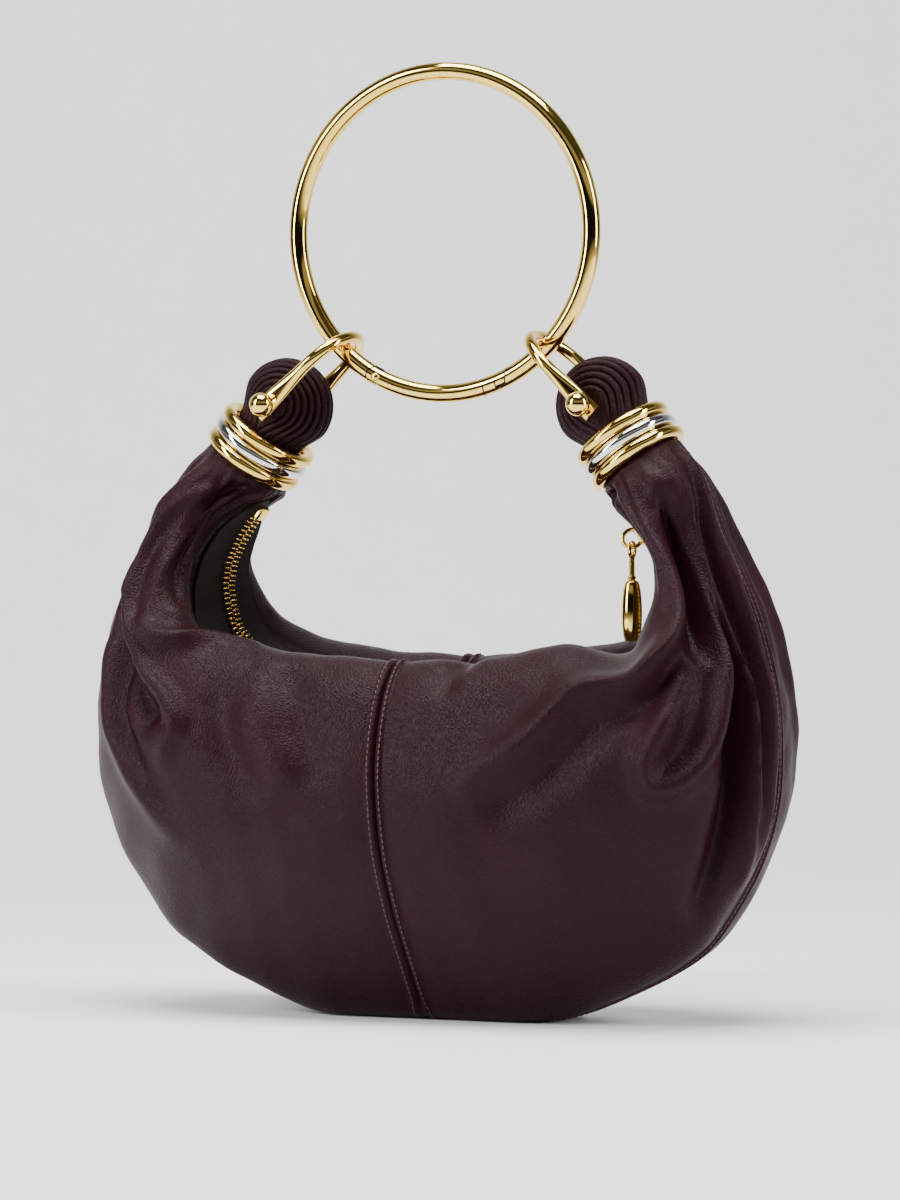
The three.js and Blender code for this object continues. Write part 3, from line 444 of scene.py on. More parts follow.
# %% Folds
# side, height in mm (negative for a valley), width in mm, steepness of each flank, points (s, v)
FRONT_FOLDS = [
    (-1, -9.0, 5.6, (1.0, 0.55), [(0.9, 0.24), (0.832, 0.3), (0.723, 0.36), (0.62, 0.39), (0.52, 0.4),
                                  (0.43, 0.4), (0.333, 0.38)]),
    (-1, 8.0, 6.6, (0.35, 1.0), [(0.95, 0.47), (0.866, 0.396), (0.808, 0.393), (0.745, 0.43), (0.657, 0.5),
                                 (0.54, 0.56), (0.45, 0.585), (0.387, 0.566), (0.381, 0.53), (0.38, 0.45)]),
    (-1, -11.0, 6.2, (1.0, 1.0), [(0.74, 0.37), (0.66, 0.44), (0.56, 0.5), (0.47, 0.53), (0.43, 0.5)]),
    (-1, 4.5, 7.0, (1.0, 1.0), [(0.7, 0.34), (0.6, 0.37), (0.5, 0.38), (0.4, 0.38), (0.3, 0.35)]),
    (-1, -3.6, 7.5, (1.0, 1.0), [(0.353, 0.66), (0.301, 0.594), (0.246, 0.54), (0.19, 0.5)]),
    (-1, -3.1, 9.0, (1.0, 1.0), [(0.248, 0.76), (0.184, 0.669), (0.128, 0.602), (0.09, 0.55)]),
    (-1, 3.1, 8.0, (1.0, 1.0), [(0.3, 0.74), (0.25, 0.65), (0.19, 0.58), (0.14, 0.53)]),
    (-1, 4.7, 5.0, (0.6, 1.0), [(0.66, 0.53), (0.6, 0.6), (0.525, 0.7), (0.459, 0.8), (0.345, 0.86)]),
    (-1, -4.7, 4.0, (1.0, 1.0), [(0.93, 0.62), (0.84, 0.66), (0.72, 0.7), (0.6, 0.74)]),
    (-1, -3.7, 3.5, (1.0, 1.0), [(0.97, 0.78), (0.9, 0.76), (0.83, 0.78), (0.74, 0.82)]),
    (-1, 3.1, 3.0, (1.0, 1.0), [(0.99, 0.34), (0.93, 0.33), (0.87, 0.32), (0.8, 0.31)]),
    (1, 5.0, 3.4, (0.7, 1.0), [(0.998, 0.1), (0.938, 0.1), (0.874, 0.11), (0.8, 0.12), (0.72, 0.11),
                               (0.64, 0.09), (0.56, 0.08), (0.47, 0.06), (0.4, 0.03)]),
    (1, 8.0, 4.1, (0.65, 0.9), [(0.99, 0.25), (0.924, 0.21), (0.866, 0.215), (0.81, 0.22), (0.745, 0.193),
                               (0.69, 0.178), (0.635, 0.165), (0.553, 0.15), (0.475, 0.12), (0.39, 0.07)]),
    (1, -7.5, 2.8, (1.0, 1.0), [(0.95, 0.15), (0.86, 0.16), (0.76, 0.155), (0.66, 0.13), (0.56, 0.115),
                                (0.46, 0.09)]),
    (1, 9.6, 4.8, (0.7, 1.0), [(0.972, 0.37), (0.918, 0.3), (0.864, 0.275), (0.808, 0.262), (0.752, 0.262),
                               (0.697, 0.268), (0.623, 0.286), (0.553, 0.306), (0.477, 0.34), (0.43, 0.385),
                               (0.45, 0.43), (0.5, 0.46), (0.555, 0.475)]),
    (1, -14.0, 5.0, (0.8, 1.0), [(0.9, 0.25), (0.85, 0.245), (0.77, 0.225), (0.69, 0.22), (0.6, 0.22),
                                (0.5, 0.2), (0.405, 0.18), (0.33, 0.15)]),
    (1, -12.5, 5.6, (1.0, 1.0), [(0.93, 0.36), (0.86, 0.33), (0.79, 0.33), (0.72, 0.34), (0.66, 0.37)]),
    (1, 7.0, 7.0, (1.0, 0.45), [(0.93, 0.42), (0.844, 0.385), (0.764, 0.405), (0.685, 0.471), (0.599, 0.56),
                                (0.5, 0.635), (0.421, 0.635), (0.343, 0.6), (0.263, 0.571), (0.202, 0.554),
                                (0.14, 0.52)]),
    (1, -5.9, 6.5, (1.0, 1.0), [(0.66, 0.43), (0.597, 0.5), (0.52, 0.545), (0.449, 0.56), (0.331, 0.53),
                                (0.248, 0.505), (0.168, 0.49)]),
    (1, -3.4, 5.0, (1.0, 1.0), [(0.19, 0.92), (0.175, 0.84), (0.15, 0.76), (0.13, 0.7)]),
    (1, 3.1, 5.0, (1.0, 1.0), [(0.62, 0.43), (0.57, 0.44), (0.52, 0.43), (0.47, 0.42)]),
    # small gathers that run together in a dimple under each stack of rings
    (-1, -5.5, 2.4, (1.0, 1.0), [(0.995, 0.6), (0.965, 0.6), (0.93, 0.58), (0.89, 0.55)]),
    (-1, -3.8, 1.8, (1.0, 1.0), [(0.995, 0.49), (0.96, 0.52), (0.93, 0.57)]),
    (-1, -3.4, 1.8, (1.0, 1.0), [(0.995, 0.71), (0.965, 0.68), (0.935, 0.6)]),
    (-1, 2.6, 2.2, (1.0, 1.0), [(0.985, 0.55), (0.95, 0.545), (0.9, 0.5)]),
    (1, -4.6, 2.0, (1.0, 1.0), [(0.995, 0.78), (0.96, 0.78), (0.91, 0.8)]),
    (1, -3.8, 1.8, (1.0, 1.0), [(0.995, 0.87), (0.96, 0.85), (0.92, 0.8)]),
    (1, -3.8, 1.8, (1.0, 1.0), [(0.995, 0.69), (0.96, 0.71), (0.92, 0.77)]),
]
BACK_FOLDS = [
    (side, height, width, (1.0, 0.7), [(start, v), (0.85, v * 0.86), (0.68, v * 0.8), (end, v * 0.74)])
    for side, height, width, start, end, v in [
        (1, 4.5, 5.0, 0.98, 0.46, 0.24), (1, -5.0, 5.0, 0.97, 0.44, 0.36), (1, 4.0, 6.5, 0.96, 0.5, 0.5),
        (1, -3.0, 6.0, 0.95, 0.55, 0.64), (-1, 4.2, 5.0, 0.98, 0.42, 0.22), (-1, -5.0, 5.5, 0.97, 0.48, 0.34),
        (-1, 4.4, 6.0, 0.96, 0.45, 0.47), (-1, -3.2, 6.5, 0.95, 0.52, 0.62), (1, 2.2, 8.0, 0.6, 0.2, 0.75),
        (-1, -2.2, 9.0, 0.55, 0.16, 0.8),
    ]
]
print(len(FRONT_FOLDS), "folds at the front,", len(BACK_FOLDS), "at the back")

# %% [markdown]
# A fold's height fades with the distance from its line, faster on a steep flank, and towards both ends of
# the line. The distance is taken square to the line and not to its nearest point, because that would leave
# ripples like the teeth of a comb.

# %% Fold heights
PATH_POINTS = 90
END_TAPER = 0.55  # lower for a fold that keeps its height nearly to its ends
FLANK = 1.8  # 2 gives a bell, 1 a sharp ridge


def fold_height(face, side, s, v, points):
    height = np.zeros(s.shape)
    for fold_side, high, width, (left, right), line in (FRONT_FOLDS if face < 0 else BACK_FOLDS):
        if fold_side != side:
            continue
        way = smooth(line, np.linspace(0, 1, PATH_POINTS))
        path = bare_skin(way[:, 0], way[:, 1])
        ahead = np.gradient(path, axis=0)
        inward = bare_skin(way[:, 0], np.minimum(way[:, 1] + 0.01, 1)) - path
        gap = points[:, None, :] - path[None]
        near = np.linalg.norm(gap, axis=-1).argmin(1)
        gap = gap[np.arange(len(points)), near]
        tangent = ahead[near] / np.linalg.norm(ahead[near], axis=1)[:, None]
        past = (gap * tangent).sum(1)
        past[(near == 0) | (near == len(path) - 1)] = 0
        distance = np.linalg.norm(gap - past[:, None] * tangent, axis=1)
        across = inward[near] - ahead[near] * (
            (inward[near] * ahead[near]).sum(1) / (ahead[near] ** 2).sum(1))[:, None]
        above = (gap * across).sum(1) > 0
        reach = distance / (width * MM * np.where(above, left, right))
        share = (near + past / np.linalg.norm(ahead[near], axis=1)) / (len(path) - 1)
        taper = np.clip(np.sin(np.pi * np.clip(share, 0.001, 0.999)), 0, 1) ** END_TAPER
        height += high * MM * taper * np.exp(-reach ** FLANK)
    return height


# %% [markdown]
# Between the drawn folds the leather is never quite even. Small gathers start under the rings, placed at
# random but with a fixed seed, so that they come out the same each time. Long shallow waves give the slack
# of soft leather everywhere else.

# %% Gathers and slack
GATHER_SEED = 7
GATHERS = 9  # of each quarter
GATHER_HEIGHT = 0.8, 1.5  # mm, lowest and highest
GATHER_START = 0.62, 0.86  # along s
GATHER_RISE = 0.16  # along s
GATHER_WIDTH = 0.028  # along v
SLACK_WAVES = [(42, 0.5), (24, 0.28), (13, 0.1)]  # mm long, mm high


def ridge(where, middle, width, height):
    """A bell of a height and width over one place, such as a roll, or a groove where it is negative."""
    return height * np.exp(-((where - middle) / width) ** 2)


def gather_height(face, side, s, v):
    random = np.random.RandomState(GATHER_SEED + 2 * side + face)
    height = np.zeros(s.shape)
    for k in range(GATHERS):
        middle = (k + 0.5) / GATHERS + random.uniform(-0.02, 0.02)
        start = random.uniform(*GATHER_START)
        rise = smoothstep(s, start, min(start + GATHER_RISE, 0.97))
        height += rise * ridge(v, middle, GATHER_WIDTH, random.uniform(*GATHER_HEIGHT) * MM)
    return height


def slack(points, face, side):
    waves = np.zeros(len(points))
    for k, (length, high) in enumerate(SLACK_WAVES):
        turn = 1.3 * k + 0.7 * face + 0.4 * side
        way = points @ np.array([math.cos(turn), math.sin(2 * turn), math.sin(turn)])
        other = points @ np.array([math.sin(turn + 1), 0.5, math.cos(turn + 1)])
        waves += high * MM * np.sin(way * 2 * math.pi / (length * MM) + k) \
            * np.sin(other * 2 * math.pi / (1.7 * length * MM) + 2 * k)
    return waves


# %% [markdown]
# ## Seams
# Two seams shape the body. The middle seam of the front is a raised double fold, topstitched on each side.
# The outer seam joins front and back all the way round, and its folded edges stand up as a low welt. The
# leather's edge along the zip is turned under and topstitched. All three are small swellings of the skin.

# %% Seams
SEAM_FOLD = 1.7 * MM  # from the middle seam to the top of each of its two rolls
STITCH_ROW = 3.2 * MM  # from the middle seam to each row of stitches


def seam_height(points, v):
    x, y = points[:, 0], points[:, 1]
    roll, groove = ridge(x, SEAM_FOLD, 1.1 * MM, 1.1 * MM), ridge(x, 0, 0.45 * MM, -1.0 * MM)
    row, pinch = ridge(x, STITCH_ROW, 0.5 * MM, -0.35 * MM), ridge(x, 0, 9 * MM, -1.3 * MM)
    welt = ridge(y, 1.0 * MM, 0.8 * MM, 0.9 * MM) + ridge(y, 0, 0.35 * MM, -1.1 * MM)
    welt = welt * (1 - smoothstep(v, 0.1, 0.2))
    edge = ridge(v, 1, 0.012, 0.5 * MM) + ridge(v, 0.955, 0.01, -0.4 * MM)
    return roll + groove + row + pinch + welt + edge


print("middle seam", 2 * SEAM_FOLD / MM, "mm from roll to roll")

# %% [markdown]
# ## Grid of the leather
# Each half of the front and back is a fine grid over the skin, finer at the middle seam and at both edges,
# where the seams are. Folds, gathers and slack are added up on it, and then relaxed a little, since leather
# doesn't crease sharper than its own thickness.

# %% Folded skin
S_STEPS = np.concatenate([np.linspace(0, 0.05, 14), np.linspace(0.05, 1, 150)[1:]])
V_STEPS = np.concatenate([np.linspace(0, 0.05, 10), np.linspace(0.05, 0.93, 92)[1:],
                          np.linspace(0.93, 1, 12)[1:]])
RELAX_ROUNDS = 2


def skin_normals(s, v, step=0.002):
    along_s = bare_skin(np.minimum(s + step, 1), v) - bare_skin(np.maximum(s - step, 0), v)
    along_v = bare_skin(s, np.minimum(v + step, 1)) - bare_skin(s, np.maximum(v - step, 0))
    normal = np.cross(along_v, along_s)
    normal[v == 0, 1] = 0
    normal[s == 0, 0] = 0
    return normal / np.linalg.norm(normal, axis=1)[:, None]


def relaxed(height):
    grid = height.reshape(len(S_STEPS), len(V_STEPS))
    for _ in range(RELAX_ROUNDS):
        for axis in (0, 1):
            padded = np.concatenate([grid.take([0], axis), grid, grid.take([-1], axis)], axis)
            size = grid.shape[axis]
            before, after = [padded.take(range(k, k + size), axis) for k in (0, 2)]
            grid = grid / 2 + (before + after) / 4
    return grid.ravel()


def skin_height(face, side, s, v, points):
    calm = smoothstep(v, 0.0, 0.06) * (1 - smoothstep(v, 0.9, 0.97))
    middle = smoothstep(points[:, 0], 2 * MM, 26 * MM)
    flat = smoothstep(points[:, 2], 0, 8 * MM)
    soft = fold_height(face, side, s, v, points) * (0.25 + 0.75 * middle)
    soft += gather_height(face, side, s, v) + slack(points * [side, face, 1], face, side) * middle
    height = relaxed(soft) * calm * flat + seam_height(points, v) * np.maximum(flat, 0.3)
    return height * (1 - 0.75 * smoothstep(s, 0.96, 1))


print(len(S_STEPS), "by", len(V_STEPS), "points on each quarter")

# %% [markdown]
# ## How the leather hangs
# The real bag hangs a little to its right, so its belly sways by a few millimetres and sags outwards low
# down. The front's edge along the zip hangs down each arm, as the slack leather there has nothing to hold
# it. The shape is moved by these amounts, since a photograph shows them better than a simulation finds them.

# %% Sway, sag and droop
SWAY = 1.3 * MM
SWAY_LEVEL = 42 * MM  # height at which the sway is nothing
SAG = [0.5, 5.0, 1.8, 0.6, -0.2, -0.7, -1.0, -1.6, -2.2, -2.6, -1.0]  # mm outwards, every SAG_STEP of height
SAG_STEP = 19 * MM
DROOP = {(-1, -1): 8 * MM, (-1, 1): 14 * MM, (1, -1): -2.4 * MM, (1, 1): 1.5 * MM}  # by face and side
DROOP_START = {-1: (0.34, 0.56), 1: (0.38, 0.56)}  # along s, by side
DROOP_END = 0.78, 0.93
DROOP_RANGE = {-1: (0.7, 0.93), 1: (0.2, 0.85)}  # along v, by side


def outward_of(s):
    """The way from the crest to the outer seam, in the plane of the seam."""
    outer_x, outer_z, crest_x, crest_z = np.moveaxis(smooth(BODY_ROWS, np.atleast_1d(s)), -1, 0)[:4]
    way = np.stack([outer_x - crest_x, 0 * outer_x, outer_z - crest_z], -1)
    return way / np.linalg.norm(way, axis=1)[:, None]


def hang(face, side, s, v, level):
    """How far each point hangs outwards and down, and how far it sways to the right."""
    sag = smooth([(value * MM,) for value in SAG], level / (SAG_STEP * (len(SAG) - 1)))[:, 0]
    sag = sag * (1 - smoothstep(v, 0.3, 0.8)) * smoothstep(s, 0.08, 0.25) * (1 - smoothstep(s, 0.9, 1))
    arm = smoothstep(s, *DROOP_START[side]) * (1 - smoothstep(s, *DROOP_END))
    droop = DROOP[face, side] * arm * smoothstep(v, *DROOP_RANGE[side])
    shift = droop[:, None] * outward_of(s)
    shift[:, 0] += sag
    return shift, SWAY * (1 - level / SWAY_LEVEL) * (1 - smoothstep(s, 0.84, 0.99))


print("the front's edge hangs", [round(DROOP[-1, side] / MM, 1) for side in (-1, 1)], "mm down the arms")

# %% [markdown]
# ## Leather walls
# A quarter of the bag is the folded skin and, a wall's thickness inside it, its inner side. At the neck both
# tuck in under the rings as fine pleats. Solidify could give the thickness too, but the two skins made here
# keep clear of the floor and of the other half's wall.

# %% A quarter of the bag
TUCK = [(-7.3 * MM, 14.6 * MM), (-6.4 * MM, 13.75 * MM), (-5.2 * MM, 13.55 * MM)]  # place on the axis, radius
TUCK_PLEATS = 22
TUCK_PLEAT_DEPTH = 0.18 * MM
TUCK_WALL = 0.12 * MM


def neck_tuck(face, side, shrink):
    turn = np.radians(smooth(PROFILE, V_STEPS)[:, 2])
    rows = []
    for distance, radius in TUCK:
        pleated = radius - shrink + TUCK_PLEAT_DEPTH * np.cos(turn * TUCK_PLEATS)
        middle = neck_point(side, distance)
        x = middle[0] + side * math.cos(NECK_LEAN) * pleated * np.cos(turn)
        z = middle[2] + math.sin(NECK_LEAN) * pleated * np.cos(turn)
        y = np.maximum(pleated * np.sin(turn), SEAM_GAP / 4) * face
        rows.append(np.stack([x, y, z], -1))
    return np.array(rows)


def quarter(face, side):
    s, v = [values.ravel() for values in np.meshgrid(S_STEPS, V_STEPS, indexing="ij")]
    points, normal = bare_skin(s, v), skin_normals(s, v)
    outer = points + normal * skin_height(face, side, s, v, points)[:, None]
    shift, sway = hang(face, side, s, v, points[:, 2])
    grids = []
    for skin, shrink in ((outer, 0), (outer - normal * WALL, TUCK_WALL)):
        skin = skin + shift
        skin[:, 0] = np.maximum(skin[:, 0], 0) * side + sway
        skin[s == 0, 0] = sway[s == 0]
        skin[:, 1] = np.maximum(skin[:, 1], SEAM_GAP / 4) * face
        skin[:, 2] = np.maximum(skin[:, 2], 0)
        grid = skin.reshape(len(S_STEPS), len(V_STEPS), 3)
        grids.append(np.concatenate([grid, neck_tuck(face, side, shrink)]))
    return grids


# %% [markdown]
# The left and right quarters of one face meet at the middle seam and become one piece. Its outer and inner
# grids are joined round all four edges, so that it is a real, closed leather wall.

# %% Front and back
def sheet_faces(rows, columns):
    """Faces of two grids of points, one on each side of a sheet, closed round its edges."""
    count = rows * columns
    faces = grid_faces(rows, columns) + [f[::-1] for f in grid_faces(rows, columns, start=count)]
    sides = [(i * columns + j, (i + 1) * columns + j) for i in range(rows - 1) for j in (0, columns - 1)]
    ends = [(i * columns + j, i * columns + j + 1) for j in range(columns - 1) for i in (0, rows - 1)]
    return faces + [(a, b, count + b, count + a) for a, b in sides + ends]


def body_face(name, face, nodes):
    left, right = quarter(face, -1), quarter(face, 1)
    outer, inner = [np.concatenate([l[::-1], r[1:]]) for l, r in zip(left, right)]
    points = np.concatenate([outer.reshape(-1, 3), inner.reshape(-1, 3)])
    piece = new_piece(name, points, sheet_faces(*outer.shape[:2]), leather, merge=0.001 * MM, smooth_angle=70)
    dress(piece, "bag", nodes)
    return outer


front_skin = body_face("leather_front", -1, ["front_panel_left", "front_panel_right"])
back_skin = body_face("leather_back", 1, ["back_panel_left", "back_panel_right"])

# %% [markdown]
# ## Gathered loops
# At each end the leather passes up through the stack of rings, over the shackle's pin and down again, like
# a belt loop gathered into pleats. So the loop is one sheet: at each place across it a path goes up the
# outer side of the neck, round the pin and down the inner side. Pleats run along those paths.

# %% Gathered loops
LOOP_RADIUS = 17.2 * MM
LOOP_HALF_WIDTH = 12.6 * MM
LOOP_PLEATS = 13
PLEAT_DEPTH = 1.9 * MM
LOOP_SIDE = 0.3  # share of the radius that is left at each side of the loop
LOOP_START = -11.5 * MM  # on the neck's axis, from the stack's middle
LOOP_STEPS = 199
PIN_SHARE, STACK_SHARE = 0.97, 0.985  # of the half width, at the pin and in the stack
ARC_SHARE = 0.97  # height of the arc over the pin, of its radius


def loop_cut():
    """The loop's cut from side to side: distance from the pin, place across, and the way out of both."""
    share = np.sin(np.radians(np.linspace(-88, 88, 600)))
    reach = LOOP_RADIUS * (LOOP_SIDE + (1 - LOOP_SIDE) * (1 - np.abs(share) ** 2.4))
    across = LOOP_HALF_WIDTH * PIN_SHARE * share
    walked = np.concatenate([[0], np.cumsum(np.hypot(np.diff(reach), np.diff(across)))])
    even = np.linspace(0, walked[-1], LOOP_STEPS)
    reach, across = np.interp(even, walked, reach), np.interp(even, walked, across)
    out, over = np.gradient(across), -np.gradient(reach)
    size = np.hypot(out, over)
    return reach, across, out / size, over / size


print("loop", round(2 * loop_cut()[1].max() / MM, 1), "mm wide at the pin")

# %% [markdown]
# Inside the stack of rings the leather is packed into a round, and towards the pin it spreads to the loop's
# cut. The rows go up the outer leg, round the pin and down the inner leg, and blend between the two cuts.
# The pleats are ribs with sharp valleys, a little uneven in width, as gathered leather is.

# %% Loops over the pins
def gathered_loop(name, side):
    reach, across, out, over = loop_cut()
    share = np.linspace(0, 1, LOOP_STEPS)
    pleat = np.abs(np.sin(math.pi * LOOP_PLEATS * share + 0.5 * np.sin(7 * share + side))) ** 0.55 - 1
    turns = math.pi * (share - 0.5)
    up = np.linspace(LOOP_START, NECK_DROP, 26)
    arc = np.radians(np.linspace(0, 180, 61))[1:-1]
    rows = []
    for leg, distances in ((1, up), (0, arc), (-1, up[::-1])):
        for value in distances:
            blend = float(smoothstep(value, 5.5 * MM, NECK_DROP)) if leg else 1.0
            depth = PLEAT_DEPTH * (0.25 + 0.75 * blend) * pleat
            far = NECK_RADIUS * np.cos(turns) * (1 - blend) + reach * blend \
                + depth * (np.cos(turns) * (1 - blend) + out * blend)
            y = LOOP_HALF_WIDTH * STACK_SHARE * np.sin(turns) * (1 - blend) + across * blend \
                + depth * (np.sin(turns) * (1 - blend) + over * blend)
            far, y = np.concatenate([[0], far, [0]]), np.concatenate([y[:1], y, y[-1:]])
            if leg:
                inward, along = leg * far, np.full(len(far), value)
            else:
                inward, along = far * math.cos(value), NECK_DROP + far * math.sin(value) * ARC_SHARE
            x = NECK_X - math.sin(NECK_LEAN) * along + math.cos(NECK_LEAN) * inward
            z = NECK_Z + math.cos(NECK_LEAN) * along + math.sin(NECK_LEAN) * inward
            rows.append(np.stack([side * x, y, z], -1))
    rows = np.array(rows)
    count = rows.shape[1]
    faces = grid_faces(len(rows), count)
    last = (len(rows) - 1) * count
    faces += [(j, j + 1, last + j + 1, last + j) for j in range(count - 1)]
    piece = new_piece(name, rows.reshape(-1, 3), faces, leather, merge=0.01 * MM, smooth_angle=75)
    return dress(piece, "bag", [name.replace("leather_loop", "gathered_loop")])


for side, word in ((-1, "left"), (1, "right")):
    gathered_loop("leather_loop_" + word, side)

# %% [markdown]
# ## Metal rings, shackles and pins
# All of these are cast and polished, with a round section, so each is a sweep: a circle carried along a
# path. Rings are tori, a shackle is a U whose legs broaden to flat feet, and a pin is turned on a lathe.

# %% Sweep and lathe helpers
def torus(middle, axis, radius, wire, steps=96, sides=24):
    turn = Vector((0, 0, 1)).rotation_difference(Vector(axis)).to_matrix()
    points = []
    for i in range(steps):
        a = 2 * math.pi * i / steps
        for j in range(sides):
            b = 2 * math.pi * j / sides
            reach = radius + wire / 2 * math.cos(b)
            local = Vector((reach * math.cos(a), reach * math.sin(a), wire / 2 * math.sin(b)))
            points.append(turn @ local + Vector(middle))
    return points, grid_faces(steps, sides, True, True)


def lathe(profile, axis_points, steps=40):
    start, end = [Vector(p) for p in axis_points]
    axis = (end - start).normalized()
    turn = Vector((0, 0, 1)).rotation_difference(axis).to_matrix()
    points = []
    for radius, height in profile:
        for k in range(steps):
            a = 2 * math.pi * k / steps
            points.append(turn @ Vector((radius * math.cos(a), radius * math.sin(a), height)) + start)
    return points, grid_faces(len(profile), steps, close_columns=True)


# %% [markdown]
# Three rings are stacked on each neck and squeeze the leather together. The middle one is silver, the others
# are gold. They stand a hair apart, and each is a torus a little thicker than in the frame, so that no light
# gets through between them. A bevelled circle would give the same ring in more steps.

# %% Neck rings
BAND_RADIUS = NECK_RADIUS + NECK_RIB_HEIGHT + SEAM_GAP + BAND_WIRE / 2
BAND_SWELL = 0.1 * MM


def neck_rings():
    for side, word in ((-1, "left"), (1, "right")):
        for place, lift in (("upper", 1), ("middle", 0), ("lower", -1)):
            axis = (-side * math.sin(NECK_LEAN), 0, math.cos(NECK_LEAN))
            middle = neck_point(side, lift * BAND_PITCH)
            metal = silver if place == "middle" else gold
            ring = new_piece(f"ring_{word}_{place}", *torus(middle, axis, BAND_RADIUS, BAND_WIRE + BAND_SWELL),
                             metal)
            dress(ring, "bag", [f"neck_ring_{word}_{place}"])


neck_rings()

# %% [markdown]
# Holes, slots and joints are cut with exact booleans, as a drill or a saw would do it. The cut faces take
# over the cutter's material, so that a gap can show a painted dark shade while the rod beside it is gold.

# %% Cutting helper
def boolean_cut(piece, cutter, operation="DIFFERENCE"):
    change = piece.modifiers.new("cut", "BOOLEAN")
    change.operation = operation
    change.material_mode = "TRANSFER"
    change.solver = "EXACT"
    change.object = cutter
    graph = bpy.context.evaluated_depsgraph_get()
    mesh = bpy.data.meshes.new_from_object(piece.evaluated_get(graph), depsgraph=graph)
    piece.modifiers.clear()
    piece.data = mesh
    bpy.data.objects.remove(cutter)
    shade(piece, 40)


# %% [markdown]
# The shackles join the leather's pins to the handle ring, so their reach follows from both. Each leans
# towards its contact with the ring, where it hangs on the inside of the rod.

# %% Sizes of shackles and handle
PIN_WIRE, PIN_CLEAR = 3 * MM, 0.3 * MM
BOW_WIRE, BOW_FOOT = 4.4 * MM, 6.2 * MM  # the U's rod, and the width of its feet
BOW_CLEAR = 0.7 * MM  # beside the leather loop
BOW_REACH = 35 * MM  # from the pin to the top of the U
BOW_OVERRUN = 5.0 * MM  # past the pin
BOW_HALF_SPAN = LOOP_HALF_WIDTH + BOW_CLEAR + BOW_FOOT / 2
RING_WIRE = 6.4 * MM
RING_RADIUS = (120 * MM - RING_WIRE) / 2
CONTACT_ANGLE = math.radians(44)  # from the ring's bottom to its contact with a shackle


def bow_top(side):
    inside = RING_RADIUS - (RING_WIRE + BOW_WIRE) / 2 - SEAM_GAP
    x = inside * math.sin(CONTACT_ANGLE)
    return Vector((side * x, 0, PIN_Z + math.sqrt(BOW_REACH ** 2 - (PIN_X - x) ** 2)))


print("shackle tops", round(bow_top(1).z / MM, 1), "mm above the floor")

# %% [markdown]
# Each shackle is a U of rod that goes over the handle ring. Towards the pin its legs turn from round to a
# flat oval, and end square just past the pin. A curve with a bevel can't change its section that way, so the
# rod is a row of cuts along the U, each with its own width, depth and roundness.

# %% Shackles
def shackle(name, side):
    pin = Vector((side * PIN_X, 0, PIN_Z))
    way = (bow_top(side) - pin).normalized()
    straight = BOW_REACH - BOW_HALF_SPAN
    path = [(reach, -BOW_HALF_SPAN) for reach in np.linspace(-BOW_OVERRUN, straight, 16)[:-1]]
    for k in range(41):
        turn = math.pi * k / 40
        path.append((straight + BOW_HALF_SPAN * math.sin(turn), -BOW_HALF_SPAN * math.cos(turn)))
    path += [(reach, -across) for reach, across in path[:15][::-1]]
    centres = [pin + way * reach + Vector((0, across, 0)) for reach, across in path]
    flat = way.cross(Vector((0, 1, 0))).normalized()
    foot_wide, foot_deep = BOW_FOOT * 1.1, BOW_FOOT * 0.7
    sides, points = 28, []
    for k, centre in enumerate(centres):
        ahead = (centres[min(k + 1, len(centres) - 1)] - centres[max(k - 1, 0)]).normalized()
        inward = ahead.cross(flat).normalized()
        thin = float(smoothstep(path[k][0], 0, straight * 1.1))
        wide = (foot_wide + (BOW_WIRE - foot_wide) * thin) / 2
        deep = (foot_deep + (BOW_WIRE - foot_deep) * thin) / 2
        power = 0.5 + 0.5 * thin
        for j in range(sides):
            a = 2 * math.pi * j / sides
            c, d = math.cos(a), math.sin(a)
            out = math.copysign(abs(c) ** power, c) * deep
            over = math.copysign(abs(d) ** power, d) * wide
            points.append(centre + inward * out + flat * over)
    faces = grid_faces(len(centres), sides, close_columns=True)
    faces += [tuple(range(sides)), tuple(range((len(centres) - 1) * sides, len(centres) * sides))]
    bow = new_piece(name, points, faces, gold, smooth_angle=50)
    radius, long = PIN_WIRE / 2 + PIN_CLEAR, 4 * BOW_HALF_SPAN
    bore = lathe([(0, 0), (radius, 0), (radius, long), (0, long)], (pin - Vector((0, long / 2, 0)), pin))
    boolean_cut(bow, new_piece("bore", *bore))
    return dress(bow, "bag", [name.replace("bow", "shackle")])


for side, word in ((-1, "left"), (1, "right")):
    shackle("bow_" + word, side)

# %% [markdown]
# The pin goes through both feet of the shackle and carries the leather loop. At each end a collar and a
# polished ball keep it in. It is turned on a lathe, and so it is here: half a profile, mirrored and spun.

# %% Shackle pins
BALL = 8.6 * MM
BALL_SEAT = 0.23 * BALL


def shackle_pin(name, side):
    seat = BOW_HALF_SPAN + BOW_FOOT / 2 + SEAM_GAP
    radius, middle = BALL / 2, seat + BALL_SEAT
    collar = 0.62 * radius
    half = [(PIN_WIRE / 2, seat - 0.9 * MM), (collar, seat - 0.9 * MM), (collar * 1.06, seat - 0.5 * MM)]
    start = -math.asin(BALL_SEAT / radius) * 0.8
    for k in range(15):
        a = start + (math.pi / 2 - start) * k / 14
        half.append((radius * math.cos(a) if k < 14 else 0.0, middle + radius * math.sin(a)))
    profile = [(r, -y) for r, y in half[::-1]] + half
    pin = Vector((side * PIN_X, 0, PIN_Z))
    piece = new_piece(name, *lathe(profile, (pin, pin + Vector((0, 1, 0)))), gold, smooth_angle=50)
    return dress(piece, "bag", [name.replace("bow_pin", "shackle_pin")])


for side, word in ((-1, "left"), (1, "right")):
    shackle_pin("bow_pin_" + word, side)

